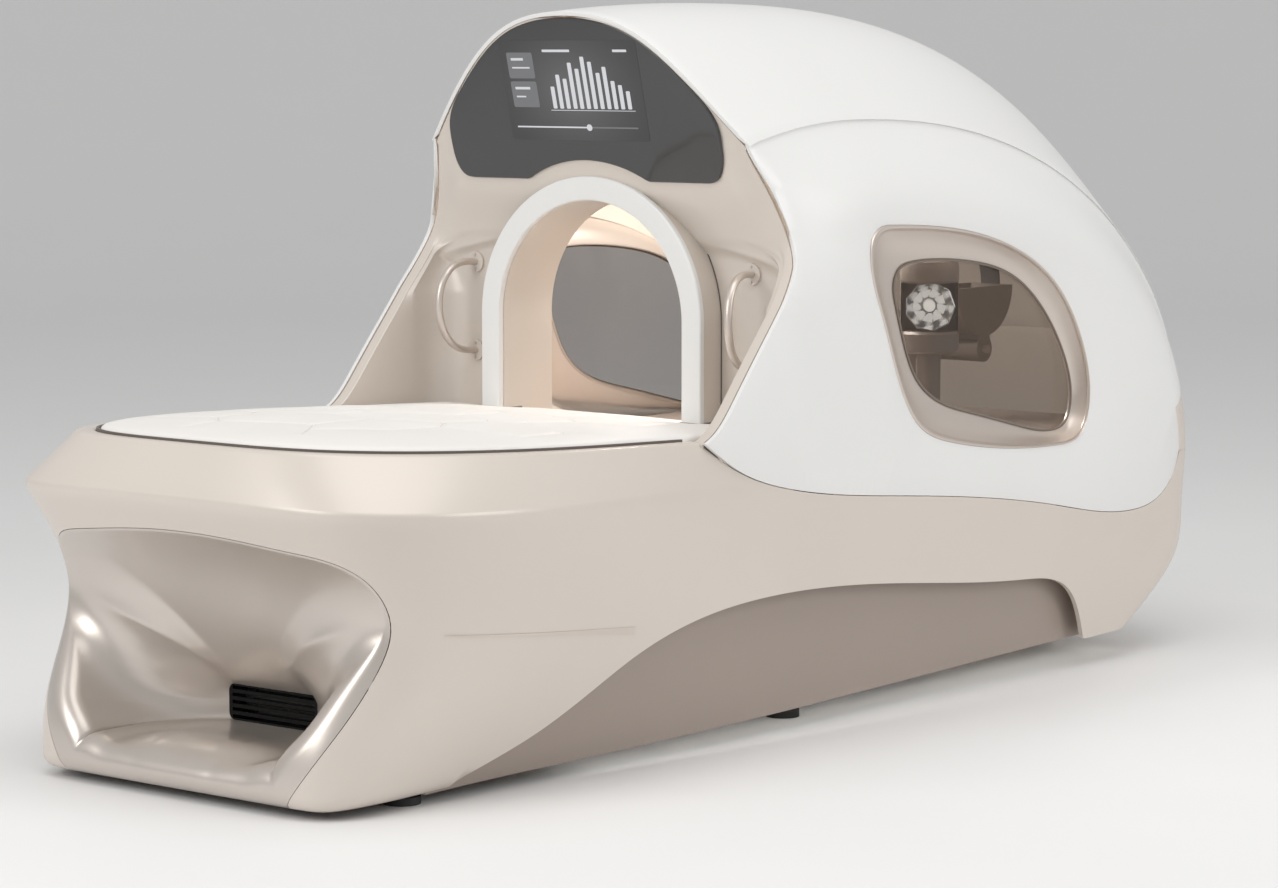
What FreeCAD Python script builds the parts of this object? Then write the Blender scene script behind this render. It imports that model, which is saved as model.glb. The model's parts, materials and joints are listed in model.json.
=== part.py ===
import FreeCAD, Part
import math
import os
import re
import Sketcher

Vector = FreeCAD.Vector
doc = FreeCAD.newDocument("TherapyBed")
sheet = doc.addObject("Spreadsheet::Sheet", "Dimensions")

# Driving dimensions in millimetres, degrees or plain ratios.
# X runs from the head end (minus) to the hood end (plus), Z is up, the floor is Z = 0.
dimensions = {
    # base body
    "bed_length": 2760, "base_half": 562, "hood_half": 488, "base_wall": 14, "hood_skin": 8,
    "bottom_front": 14, "bottom_rear": 72, "bottom_half": 395, "ridge_front": 522, "ridge_rear": 430,
    "rim_front": 620, "rim_fall": 0.043, "rim_inset": 40, "tail_tuck": 225, "flange_width": 30,
    "flange_thick": 16, "taper_start": 1100, "taper_end": 300, "nose_bottom": 8, "nose_belly": 20,
    "nose_waist": 80, "bottom_tuck": 12, "belly_tuck": 4, "belly_out": 50, "waist_in": 44,
    "belly_front": 130, "belly_rear": 165, "waist_front": 330, "waist_rear": 290,
    # bed
    "deck_thick": 18, "deck_lap": 10, "mattress_proud": 14, "piping_width": 5, "piping_proud": 4,
    # scoop and vent
    "scoop_top": 460, "scoop_half_top": 430, "scoop_bottom": 34, "scoop_half_bottom": 285,
    "scoop_depth": 262, "scoop_wall": 5, "slot_half": 110, "slot_low": 94, "slot_high": 160,
    "grille_thick": 5, "duct_length": 120, "duct_wall": 5, "fan_radius": 34, "fan_shaft": 4,
    # skirts and side trims
    "skirt_thick": 6, "skirt_recess_rear": 38, "skirt_lap": 60, "swoosh_front": 1075,
    "swoosh_rear": 822, "swoosh_top": 276, "trim_proud": 1.5, "trim_lead": 220, "trim_length": 460,
    "trim_depth": 14, "trim_rise": 30, "trim_fall": 36,
    # hood
    "hood_top": 1385, "hood_apex": 95, "side_top": 972, "hood_centre": 430, "crease_half": 400,
    "crease_share": 0.45, "crease_share_tail": 0.74, "side_tail_gap": 209, "front_x": -322,
    "front_top": 1365, "front_slope": 0.25, "front_side": 905,
    "rear_split": 80, "tip_x": -485, "tip_height": 578, "seam_front_x": -236, "seam_front": 473,
    "seam_rear_x": 985, "seam_rear": 318,
    # bulkhead, cheeks, arch, display
    "cheek_inner": 445, "cheek_lead": 8, "bulkhead_x": -172, "bulkhead_thick": 36, "glass_thick": 6,
    "arch_x": -240, "arch_outer": 277, "arch_inner": 236, "arch_centre": 772, "tunnel_depth": 160,
    "tunnel_wall": 8, "sill_height": 568, "sleeve_drop": 120, "display_half": 338,
    "display_low": 1040, "display_border": 5, "notch_gap": 8, "handle_y": 349, "handle_top": 868,
    "handle_drop": 178, "handle_reach": 104, "handle_bend": 62, "handle_radius": 9, "flange_radius": 21,
    "flange_height": 5,
    # window
    "window_depth": 38, "window_wall": 7, "pane_thick": 5, "pane_lap": 8, "window_x": 430, "window_z": 710,
    # chamber and drive
    "floor_height": 500, "floor_thick": 12, "floor_half": 440, "floor_tail_gap": 280,
    "tower_x": 690, "tower_length": 170, "tower_width": 140, "tower_wall": 8, "axle_height": 660,
    "axle_radius": 12, "running_gap": 0.05, "bearing_radius": 26, "bearing_width": 14,
    "arm_gap": 14, "arm_thick": 20, "arm_radius": 26, "crank_radius": 120, "pin_radius": 9,
    "cup_gap": 9, "cup_width": 110, "cup_radius": 105, "cup_wall": 8, "cup_rise": 132,
    "hub_radius": 28, "strap_thick": 4, "strap_width": 46, "drum_radius": 56, "drum_width": 44,
    "magnet_gap": 2, "magnet_thick": 14,
    # lamp
    "lamp_x": 402, "lamp_y": -340, "lamp_height": 777, "lamp_radius": 50, "lamp_depth": 44,
    "lamp_wall": 3, "column_radius": 24, "housing_radius": 60, "housing_height": 190,
    # chassis, feet and hidden units
    "rail_y": 330, "rail_width": 40, "rail_height": 60, "rail_low": 78, "rail_wall": 4,
    "rail_nose_gap": 220, "rail_tail_gap": 320, "post_width": 40, "foot_nose_gap": 240,
    "foot_mid_x": -46, "foot_tail_gap": 360, "foot_rear_y": 200, "pad_radius": 33, "pad_height": 14,
    "stem_radius": 9, "stem_rise": 40, "nut_radius": 16, "nut_height": 12, "glow_width": 14, "glow_height": 8,
    "glow_setback": 420, "blower_radius": 95, "blower_length": 240, "box_length": 300, "box_width": 260,
    "box_height": 150, "plate_half": 62, "plate_low": 316, "plate_height": 84, "plate_thick": 8,
    "plate_sink": 5, "socket_width": 28, "socket_height": 20, "rocker_length": 26, "rocker_width": 15,
    "rocker_gap": 0.6, "pivot_radius": 1.5, "fit_gap": 0.3, "screw_radius": 3.2, "screw_height": 2,
}
# Places along the bed that follow its two ends.
dimensions.update({
    "rail_front": "=rail_nose_gap - bed_length / 2", "rail_rear": "=bed_length / 2 - rail_tail_gap",
    "foot_front_x": "=foot_nose_gap - bed_length / 2", "foot_rear_x": "=bed_length / 2 - foot_tail_gap",
    "floor_rear": "=bed_length / 2 - floor_tail_gap",
})
for row, (name, value) in enumerate(dimensions.items(), start=1):
    sheet.set("A%d" % row, name)
    sheet.setAlias("B%d" % row, name)
for row, value in enumerate(dimensions.values(), start=1):
    sheet.set("B%d" % row, str(value))
doc.recompute()


class Sizes:
    def __getattr__(self, name):
        return float(sheet.get(name))


size = Sizes()
pieces = []


def linked(text):
    """Turn plain sheet names in an expression into references to the sheet."""
    return re.sub(r"[a-z][a-z_]*", lambda word: "Dimensions." + word.group(0)
                  if word.group(0) in dimensions else word.group(0), text)


def bind(item, **expressions):
    for name, text in expressions.items():
        item.setExpression(name.replace("__", "."), linked(text))
    return item


def place(item, x, y, z):
    return bind(item, Placement__Base__x=x, Placement__Base__y=y, Placement__Base__z=z)


def block(name, length, width, height, x, y, z):
    item = doc.addObject("Part::Box", name)
    bind(item, Length=length, Width=width, Height=height)
    return place(item, x, y, z)


along_x = FreeCAD.Rotation(Vector(0, 1, 0), 90)
along_y = FreeCAD.Rotation(Vector(1, 0, 0), -90)
upright = FreeCAD.Rotation()


def rod(name, radius, height, x, y, z, turn=upright):
    item = doc.addObject("Part::Cylinder", name)
    item.Placement.Rotation = turn
    bind(item, Radius=radius, Height=height)
    return place(item, x, y, z)


def cut(name, base, *tools):
    for number, tool in enumerate(tools):
        item = doc.addObject("Part::Cut", "%s_%d" % (name, number) if number < len(tools) - 1 else name)
        item.Base = base
        item.Tool = tool
        base = item
    return base


def fuse(name, *shapes):
    item = doc.addObject("Part::MultiFuse", name)
    item.Shapes = list(shapes)
    return item


def group(name, items):
    item = doc.addObject("Part::Compound", name)
    item.Links = list(items)
    return item


def solid(name, shape):
    item = doc.addObject("Part::Feature", name)
    item.Shape = shape
    return item


def keep(item, label):
    item.Label = label
    pieces.append(item)
    return item


def closed_curve(points):
    curve = Part.BSplineCurve()
    curve.interpolate(points, PeriodicFlag=True)
    return Part.Wire(curve.toShape())


def open_curve(points):
    curve = Part.BSplineCurve()
    curve.interpolate(points)
    return curve.toShape()


def side_prism(wire, depth):
    return Part.Face(wire).extrude(Vector(0, depth, 0))


def slab(x_low, x_high, y_low, y_high, z_low, z_high):
    return Part.makeBox(x_high - x_low, y_high - y_low, z_high - z_low, Vector(x_low, y_low, z_low))


def smooth_step(value):
    value = min(max(value, 0.0), 1.0)
    return value * value * (3 - 2 * value)


# Plan outlines of the base: a rounded nose, wider at the head end, and a tail that follows the hood.
nose_steps = 20
nose_power = 5.5
belly_nose_power = 8.5
bottom_nose_power = 14
rim_nose_power = 3.8
side_stops = (0.9, 0.75, 0.5, 0.25, 0)


def tail_outline(half, inset):
    """Half of the tail in plan, from its middle round the corner and along the side."""
    lean, crown = hood_section(1, 0)[:2]
    corner = list(reversed(crown.discretize(6)))[:-1] + list(reversed(lean.discretize(4)))
    points = [(p.x - inset, p.y * half / size.hood_half) for p in corner]
    return points + [(points[-1][0] * stop, half) for stop in side_stops]


def plan_outline(nose_inset, half_front, half_rear, tail_inset, height_at, power=nose_power):
    flank = tail_outline(half_rear, tail_inset)
    run = size.bed_length / 2 - nose_inset
    nose = []
    for step in range(nose_steps + 1):
        angle = math.pi * (0.5 + (step + 0.1) / (nose_steps + 0.2))
        along, across = math.cos(angle), math.sin(angle)
        x = -abs(along) ** (2 / power) * run
        widen = smooth_step((-x - size.taper_end) / (size.taper_start - size.taper_end))
        half = half_rear + (half_front - half_rear) * widen
        nose.append((x, math.copysign(abs(across) ** (2 / power), across) * half))
    other = [(x, -y) for x, y in reversed(flank[1:])]
    return closed_curve([Vector(x, y, height_at(x)) for x, y in flank + nose + other])


def between(front, rear):
    reach = size.bed_length / 2
    return lambda x: front + (rear - front) * (x + reach) / (2 * reach)


def rim_at(x):
    return size.rim_front - size.rim_fall * (x + size.bed_length / 2)


def base_body(inset, inset_rear, drop=0):
    """The base's closed outer form, moved inwards by an inset at the head end and at the tail."""
    front, rear = inset, inset_rear
    bottom = plan_outline(size.nose_bottom + front, size.bottom_half - front,
                          size.hood_half - size.bottom_tuck - rear, size.tail_tuck + rear,
                          between(size.bottom_front, size.bottom_rear), bottom_nose_power)
    belly = plan_outline(size.nose_belly + front, size.bottom_half + size.belly_out - front,
                         size.hood_half - size.belly_tuck - rear, size.tail_tuck / 3 + rear,
                         between(size.belly_front, size.belly_rear), belly_nose_power)
    waist = plan_outline(size.nose_waist + front, size.base_half - size.waist_in - front,
                         size.hood_half - rear, size.tail_tuck / 16 + rear,
                         between(size.waist_front, size.waist_rear))
    ridge = plan_outline(front, size.base_half - front, size.hood_half - rear, rear,
                         between(size.ridge_front, size.ridge_rear))
    rim = plan_outline(size.rim_inset + front, size.base_half - size.rim_inset - front,
                       size.hood_half - size.rim_inset / 2 - rear, size.rim_inset + rear,
                       lambda x: rim_at(x) - drop, rim_nose_power)
    lower = Part.makeLoft([bottom, belly, waist, ridge], True, False)
    upper = Part.makeLoft([ridge, rim], True, True)
    return lower.fuse(upper)


# How the seam bends behind the tip, keeps straight along the side and turns up at the tail.
seam_bend = (0.4, 0.44)
seam_straight = (360, 300)
seam_turn = ((70, 24), (12, 32))


def seam_points():
    """The line between base and hood side, from the tip at the cheek to the rear corner."""
    fall = (size.seam_front - size.seam_rear) / (size.seam_rear_x - size.seam_front_x)
    rise = size.tip_height - size.seam_front
    tip = size.tip_x - size.cheek_lead
    run = size.seam_front_x - tip
    corner = tail_x("side")
    return [Vector(tip, 0, size.tip_height),
            Vector(tip + seam_bend[0] * run, 0, size.seam_front + seam_bend[1] * rise),
            Vector(size.seam_front_x, 0, size.seam_front),
            Vector(size.seam_front_x + seam_straight[0], 0, size.seam_front - seam_straight[0] * fall),
            Vector(size.seam_rear_x - seam_straight[1], 0, size.seam_rear + seam_straight[1] * fall),
            Vector(size.seam_rear_x, 0, size.seam_rear),
            Vector(corner - seam_turn[0][0], 0, size.seam_rear + seam_turn[0][1]),
            Vector(corner - seam_turn[1][0], 0, size.hood_centre - seam_turn[1][1]),
            Vector(corner, 0, size.hood_centre)]


def tail_x(line):
    return size.bed_length / 2 - (size.side_tail_gap if line == "side" else 0)


def front_plane(z):
    return size.front_x + size.front_slope * (size.front_top - z)


# Hood lines in the XZ plane: each rises from the front plane to the apex, then falls to the tail.
line_power = {"crest": 2.5, "side": 2.0}


def hood_line(line, travel):
    top = {"crest": size.hood_top, "side": size.side_top}[line]
    front = {"crest": size.front_top, "side": size.front_side}[line]
    if travel < 0:
        x = size.hood_apex + (size.hood_apex - front_plane(front)) * travel
        return Vector(x, 0, top - (top - front) * travel * travel)
    angle = math.radians(min(90 * travel, 89.999))
    bend = 2 / line_power[line]
    return Vector(size.hood_apex + (tail_x(line) - size.hood_apex) * math.sin(angle) ** bend, 0,
                  size.hood_centre + (top - size.hood_centre) * math.cos(angle) ** bend)


lean_angle = math.radians(26)
crown_rise = 0.72
crown_draw = 0.35
crown_flat = 0.42
lean_start = 0.45
lean_end = 0.3


def hood_section(travel, inset):
    """One edge chain across the hood from side to side, moved inwards by an inset."""
    side, crest = hood_line("side", travel), hood_line("crest", travel)
    share = size.crease_share + (size.crease_share_tail - size.crease_share) * max(travel, 0) ** 4
    crease = side + (crest - side) * share
    up = (crest - side).normalize()
    outward = Vector(0, 1, 0)
    lean_run = (crease - side).Length
    half, shoulder = size.hood_half, size.crease_half
    inward = up * -inset
    start = side + outward * (half - inset)
    lean_out = up * math.cos(lean_angle) - outward * math.sin(lean_angle)
    crown_out = up * (crown_rise * (crest - crease).Length) - outward * (crown_draw * shoulder)
    knee = crease + outward * (shoulder - inset * math.cos(lean_angle)) + inward * math.sin(lean_angle)
    peak = crest + inward
    lean_poles = [start, start + up * (lean_start * lean_run), knee - lean_out * (lean_end * lean_run), knee]
    crown_poles = [knee, knee + crown_out, peak + outward * (crown_flat * shoulder), peak]
    half_chain = [lean_poles, crown_poles]
    other = [[Vector(p.x, -p.y, p.z) for p in reversed(poles)] for poles in reversed(half_chain)]
    edges = []
    for poles in half_chain + other:
        curve = Part.BezierCurve()
        curve.setPoles(poles)
        edges.append(curve.toShape())
    return edges


def hood_strip(travels):
    """A wall of the hood's skin thickness that follows the sections over the given stations."""
    wires = []
    for travel in travels:
        outer = hood_section(travel, 0)
        inner = hood_section(travel, size.hood_skin)
        first = Part.makeLine(outer[-1].Vertexes[-1].Point, inner[-1].Vertexes[-1].Point)
        last = Part.makeLine(inner[0].Vertexes[0].Point, outer[0].Vertexes[0].Point)
        back = [edge.reversed() for edge in reversed(inner)]
        wires.append(Part.Wire(outer + [first] + back + [last]))
    return Part.makeLoft(wires, True, False)


def hood_stations(first, last, count):
    return [first + (last - first) * step / (count - 1) for step in range(count)]


# Chassis: two long tubes, crossmembers, and posts under the deck and the chamber floor.
def rail(name, side):
    outer = block(name + "_outer", "rail_rear - rail_front", "rail_width", "rail_height", "rail_front",
                  "%d * rail_y - rail_width / 2" % side, "rail_low")
    inner = block(name + "_inner", "rail_rear - rail_front + 20", "rail_width - 2 * rail_wall",
                  "rail_height - 2 * rail_wall", "rail_front - 10",
                  "%d * rail_y - rail_width / 2 + rail_wall" % side, "rail_low + rail_wall")
    holes = [rod("%s_hole_%d" % (name, number), "stem_radius + running_gap", "rail_wall * 2",
                 spot, "%d * rail_y" % side, "rail_low - rail_wall / 2")
             for number, spot in enumerate(["foot_front_x", "foot_mid_x"])]
    return cut(name, outer, inner, *holes)


# The front and middle feet stand under the rails, the rear feet under the last crossmember.
feet = {"front": ("foot_front_x", "rail_y"), "mid": ("foot_mid_x", "rail_y"),
        "rear": ("foot_rear_x", "foot_rear_y")}
sides = {"left": 1, "right": -1}
keep(group("Rails", [rail("Rail_left", 1), rail("Rail_right", -1)]), "chassis_rails")

rail_top = "rail_low + rail_height"
cross_spots = ["foot_front_x + 180", "foot_mid_x - 400", "foot_mid_x + 60", "foot_rear_x - 420",
               "foot_rear_x - post_width / 2"]
cross_bars = [block("Cross_%d" % number, "post_width", "2 * rail_y - rail_width", "rail_height", spot,
                    "rail_width / 2 - rail_y", "rail_low")
              for number, spot in enumerate(cross_spots)]
rear_bores = [rod("Rear_bore_" + side, "stem_radius + running_gap", "rail_height + 2", "foot_rear_x",
                  "%d * foot_rear_y" % sign, "rail_low - 1") for side, sign in sides.items()]
cross_bars[-1] = cut("Cross_rear", cross_bars[-1], *rear_bores)
floor_posts = [block("Floor_post_%d_%s" % (number, side), "post_width", "rail_width",
                     "floor_height - floor_thick - rail_low - rail_height", spot,
                     "%d * rail_y - rail_width / 2" % sign, rail_top)
               for number, spot in enumerate(["foot_mid_x + 60", "foot_rear_x - 60"])
               for side, sign in sides.items()]
keep(group("Crossmembers", cross_bars + floor_posts), "chassis_crossmembers")


def deck_post(name, spot, sign):
    """A post whose top follows the slope of the bed."""
    x_low, x_high = spot, spot + size.post_width
    y_low = sign * size.rail_y - size.rail_width / 2
    top = [rim_at(x) - size.flange_thick - size.deck_thick for x in (x_low, x_high)]
    low = size.rail_low + size.rail_height
    outline = Part.makePolygon([Vector(x_low, y_low, low), Vector(x_high, y_low, low),
                                Vector(x_high, y_low, top[1]), Vector(x_low, y_low, top[0]),
                                Vector(x_low, y_low, low)])
    return solid(name, Part.Face(outline).extrude(Vector(0, size.rail_width, 0)))


deck_posts = [deck_post("Deck_post_%d_%s" % (number, side), spot, sign)
              for number, spot in enumerate([size.foot_front_x + 200, size.foot_mid_x - 400])
              for side, sign in sides.items()]
keep(group("Deck_posts", deck_posts), "deck_posts")

nuts = []
for name, (spot, offset) in feet.items():
    for side, sign in sides.items():
        tag = "%s_%s" % (name, side)
        y = "%d * %s" % (sign, offset)
        pad = rod("Pad_" + tag, "pad_radius", "pad_height", spot, y, "0")
        stem = rod("Stem_" + tag, "stem_radius", "rail_low - pad_height + stem_rise", spot, y, "pad_height")
        keep(group("Foot_" + tag, [pad, stem]), "levelling_foot_" + tag)
        nut = rod("Nut_" + tag, "nut_radius", "nut_height", spot, y, "rail_low - nut_height")
        bore = rod("Nut_bore_" + tag, "stem_radius + running_gap", "nut_height + 2", spot, y,
                   "rail_low - nut_height - 1")
        nuts.append(cut("Lock_nut_" + tag, nut, bore))
keep(group("Lock_nuts", nuts), "lock_nuts")

# Base shell: hollow body with a flange round the bed, the scoop, the swoosh cuts and the hood seam.
base_outer = base_body(0, 0)
base_inner = base_body(size.base_wall, size.base_wall, size.flange_thick)
reach = size.bed_length / 2


def bed_prism(inset, low, high):
    """A plate along the sloping bed, between two heights measured from the rim."""
    insets = (size.rim_inset + inset, size.base_half - size.rim_inset - inset,
              size.hood_half - size.rim_inset / 2 - inset, size.rim_inset + inset)
    wires = [plan_outline(*insets, lambda x, level=level: rim_at(x) + level, rim_nose_power)
             for level in (low, high)]
    return Part.makeLoft(wires, True, True)


scoop_round_top = 0.28
scoop_round_low = 0.16


def scoop_section(x, top, half_top, low, half_low):
    """A rounded trapezoid across the scoop, with its long side on top."""
    round_top, round_low = scoop_round_top * (top - low), scoop_round_low * (top - low)
    half_points = [Vector(x, 0, top), Vector(x, 0.55 * half_top, top - 0.01 * (top - low)),
                   Vector(x, half_top - 0.5 * round_top, top - 0.35 * round_top),
                   Vector(x, half_top, top - 1.15 * round_top),
                   Vector(x, half_low + 0.12 * (half_top - half_low), low + 1.6 * round_low),
                   Vector(x, half_low - 0.9 * round_low, low + 0.12 * round_low),
                   Vector(x, 0.5 * half_low, low), Vector(x, 0, low)]
    other = [Vector(p.x, -p.y, p.z) for p in reversed(half_points[1:-1])]
    return closed_curve(half_points + other)


# Share of the depth, and how much of the mouth's size is left there.
scoop_leads = ((0, 1.1), (0.5, 0.97), (0.8, 0.6), (1, 0))


def scoop_form(grow):
    """The funnel from outside the nose to the slot, grown on all sides."""
    mouth_x, slot_x = -reach - 60, -reach + size.scoop_depth

    def along(mouth, slot, lead):
        return slot + (mouth - slot) * lead

    sections = []
    for share, lead in scoop_leads:
        top = along(size.scoop_top, size.slot_high, lead)
        half_top = along(size.scoop_half_top, size.slot_half, lead)
        low = along(size.scoop_bottom, size.slot_low, lead if share else 1)
        half_low = along(size.scoop_half_bottom, size.slot_half, lead)
        x = mouth_x + (slot_x - mouth_x) * share
        sections.append(scoop_section(x, top + grow, half_top + grow, low - grow, half_low + grow))
    return Part.makeLoft(sections, True, False)


# The swoosh edge: share of its length, share of its height.
swoosh_shape = ((0.09, 0.37), (0.2, 0.76), (0.38, 1), (0.6, 0.95), (0.86, 0.78), (0.96, 0.62))
swoosh_end = 40
below_floor = -60
beyond_side = 700


def half_space(sign, inner):
    low_y, high_y = sorted((sign * inner, sign * beyond_side))
    return slab(-2 * reach, 2 * reach, low_y, high_y, below_floor, beyond_side)


def swoosh_prism(sign, grow):
    """The side cut: a long low arch that opens downwards."""
    front, rear, top = -size.swoosh_front - grow, size.swoosh_rear + grow, size.swoosh_top + grow
    curve = [Vector(front + along * (rear - front), 0, level * top) for along, level in swoosh_shape]
    first, last = Vector(front, 0, swoosh_end), Vector(rear, 0, swoosh_end)
    closing = Part.makePolygon([last, Vector(rear, 0, below_floor), Vector(front, 0, below_floor), first])
    prism = side_prism(Part.Wire([open_curve([first] + curve + [last])] + closing.Edges), sign * beyond_side)
    return prism.common(half_space(sign, 0))


def above_seam(low_y, high_y):
    line = seam_points()
    tip, corner = line[0], line[-1]
    top = size.hood_top
    behind = 1.1 * reach
    rest = Part.makePolygon([corner, Vector(behind, 0, corner.z), Vector(behind, 0, top),
                             Vector(tip.x, 0, top), tip])
    prism = side_prism(Part.Wire([open_curve(line)] + rest.Edges), high_y - low_y)
    prism.translate(Vector(0, low_y, 0))
    return prism


mattress_half = size.hood_half - size.rim_inset / 2 - size.flange_width
bed_room = slab(-reach, size.bulkhead_x - size.fit_gap, -mattress_half, mattress_half, 0, size.hood_top)
hood_room = above_seam(-reach, reach).cut(bed_room)
bed_hole = bed_prism(size.flange_width, -2 * size.flange_thick, 2 * size.flange_thick)
shell = base_outer.cut(base_inner).cut(bed_hole)
shell = shell.cut(scoop_form(size.scoop_wall)).cut(hood_room)
for sign in (1, -1):
    shell = shell.cut(swoosh_prism(sign, 0).common(half_space(sign, size.bottom_half / 2)))
plate_hole = slab(reach - size.tail_tuck, 2 * reach, -size.plate_half, size.plate_half, size.plate_low,
                  size.plate_low + size.plate_height)
shell = shell.cut(plate_hole)
keep(solid("Base_shell", max(shell.Solids, key=lambda part: part.Volume)), "base_shell")

# Scoop panel, vent grille, duct and the barrel fan behind the slot.
scoop_panel = scoop_form(size.scoop_wall).cut(scoop_form(0)).common(base_outer)
keep(solid("Scoop_panel", max(scoop_panel.Solids, key=lambda part: part.Volume)), "scoop_panel")
slot_x = "(scoop_depth - bed_length / 2)"
bar_count = 5
grille_plate = block("Grille_plate", "grille_thick", "2 * slot_half + 2 * scoop_wall",
                     "slot_high - slot_low + 2 * scoop_wall", slot_x, "-slot_half - scoop_wall",
                     "slot_low - scoop_wall")
grille_slots = [block("Grille_slot_%d" % number, "grille_thick + 2", "2 * slot_half - 16",
                      "(slot_high - slot_low) / %d" % (2 * bar_count), slot_x + " - 1", "8 - slot_half",
                      "slot_low + (slot_high - slot_low) * %d / %d" % (4 * number + 1, 4 * bar_count))
                for number in range(bar_count)]
keep(cut("Grille", grille_plate, *grille_slots), "vent_grille")

duct_x = slot_x + " + grille_thick"
fan_x = duct_x + " + duct_length / 2"
fan_z = "(slot_low + slot_high) / 2"
duct_low = fan_z + " - fan_radius - duct_wall - 6"
duct_height = "2 * fan_radius + 2 * duct_wall + 12"
duct_outer = block("Duct_outer", "duct_length", "2 * slot_half + 2 * scoop_wall", duct_height, duct_x,
                   "-slot_half - scoop_wall", duct_low)
duct_inner = block("Duct_inner", "duct_length + 2", "2 * slot_half + 2 * scoop_wall - 2 * duct_wall",
                   "2 * fan_radius + 12", duct_x + " - 1", "duct_wall - slot_half - scoop_wall",
                   duct_low + " + duct_wall")
duct_bore = rod("Duct_bore", "fan_shaft + running_gap", "2 * slot_half + 40", fan_x, "-slot_half - 20", fan_z,
                along_y)
keep(cut("Duct", duct_outer, duct_inner, duct_bore), "vent_duct")
barrel = rod("Fan_barrel", "fan_radius", "2 * slot_half - 20", fan_x, "10 - slot_half", fan_z, along_y)
shaft = rod("Fan_shaft", "fan_shaft", "2 * slot_half + 2 * scoop_wall", fan_x,
            "-slot_half - scoop_wall", fan_z, along_y)
blade_grooves = []
blade_count = 10
for number in range(blade_count):
    angle = 360 * number // blade_count
    groove = rod("Fan_groove_%d" % number, "fan_radius / 6", "2 * slot_half - 60",
                 "%s + fan_radius * cos(%d deg)" % (fan_x, angle), "30 - slot_half",
                 "%s + fan_radius * sin(%d deg)" % (fan_z, angle), along_y)
    blade_grooves.append(groove)
keep(fuse("Fan", cut("Fan_drum", barrel, *blade_grooves), shaft), "fan_rotor")

# Skirts: panels behind the swoosh cuts, deeper towards the tail, and the slim side trims.
skirt_outer = base_body(size.base_wall + size.fit_gap, size.skirt_recess_rear)
skirt_inner = base_body(size.base_wall + size.fit_gap + size.skirt_thick,
                        size.skirt_recess_rear + size.skirt_thick)
trim_body = base_body(-size.trim_proud, -size.trim_proud)
trim_start = Vector(size.trim_lead - reach, 0, size.swoosh_top + size.trim_rise)
trim_end = trim_start + Vector(size.trim_length, 0, -size.trim_fall)
trim_points = [trim_start, trim_end, trim_end - Vector(0, 0, size.trim_depth), trim_start]
trims = []
for side, sign in sides.items():
    window = swoosh_prism(sign, size.skirt_lap)
    skirt = skirt_outer.cut(skirt_inner).common(window)
    keep(solid("Skirt_" + side, max(skirt.Solids, key=lambda part: part.Volume)), "skirt_" + side)
    strip = side_prism(Part.makePolygon(trim_points), sign * beyond_side)
    trim = max(trim_body.common(strip).cut(base_outer).Solids, key=lambda part: part.Volume)
    trim.translate(Vector(0, sign * size.fit_gap, 0))
    trims.append(solid("Trim_" + side, trim))
keep(group("Trims", trims), "side_trims")

# Bed: deck board under the flange, mattress in the flange's opening, piping round it.
clear_of_tip = 20
cheek_room = []
for sign in (1, -1):
    low_y, high_y = sorted((sign * (size.cheek_inner - size.fit_gap), sign * reach))
    cheek_room.append(slab(size.tip_x - clear_of_tip, reach, low_y, high_y, 0, size.hood_top))
bed_end = slab(size.bulkhead_x - size.fit_gap, 2 * reach, -reach, reach, 0, size.hood_top)


def arch_outline(radius, low, x):
    points = [Vector(x, -radius, low), Vector(x, -radius, size.arch_centre),
              Vector(x, 0, size.arch_centre + radius), Vector(x, radius, size.arch_centre),
              Vector(x, radius, low)]
    return Part.Wire([Part.makeLine(points[0], points[1]), Part.Arc(*points[1:4]).toShape(),
                      Part.makeLine(points[3], points[4]), Part.makeLine(points[4], points[0])])


def arch_solid(radius, low, x_low, x_high):
    return Part.Face(arch_outline(radius, low, x_low)).extrude(Vector(x_high - x_low, 0, 0))


arch_lift = 4
arch_foot = rim_at(size.arch_x) - size.flange_thick + arch_lift
ring = arch_solid(size.arch_outer, arch_foot, size.arch_x, size.bulkhead_x)
ring = ring.cut(arch_solid(size.arch_inner, 0, -reach, reach))
ring_room = arch_solid(size.arch_outer + size.fit_gap, 0, size.arch_x - size.fit_gap, size.bulkhead_x)
ring_room = ring_room.cut(arch_solid(size.arch_inner - size.fit_gap, 0, -reach, reach))
deck = bed_prism(size.flange_width - size.deck_lap, -size.flange_thick - size.deck_thick, -size.flange_thick)
deck = deck.cut(bed_end).cut(cheek_room[0]).cut(cheek_room[1])
keep(solid("Deck", deck), "bed_deck")
mattress = bed_prism(size.flange_width + size.piping_width + size.fit_gap, -size.flange_thick,
                     size.mattress_proud)
mattress = mattress.cut(bed_end).cut(cheek_room[0]).cut(cheek_room[1]).cut(ring_room)
keep(solid("Mattress", max(mattress.Solids, key=lambda part: part.Volume)), "mattress")
piping = bed_prism(size.flange_width + size.fit_gap, -size.flange_thick, size.piping_proud)
piping = piping.cut(bed_prism(size.flange_width + size.piping_width, -2 * size.flange_thick,
                              2 * size.flange_thick))
piping = piping.cut(slab(size.tip_x - clear_of_tip, 2 * reach, -reach, reach, 0, size.hood_top))
keep(solid("Piping", max(piping.Solids, key=lambda part: part.Volume)), "mattress_piping")

# Hood skins: crown over the top, rear cover below it, flat sides with the window.
split = size.rear_split / 90
crown_front = hood_stations(-1, 0, 5)
crown_rear = hood_stations(0, split, 9)
keep(solid("Crown", hood_strip(crown_front + crown_rear[1:])), "hood_crown")
keep(solid("Rear_cover", hood_strip(hood_stations(split, 1, 4))), "rear_cover")

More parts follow.
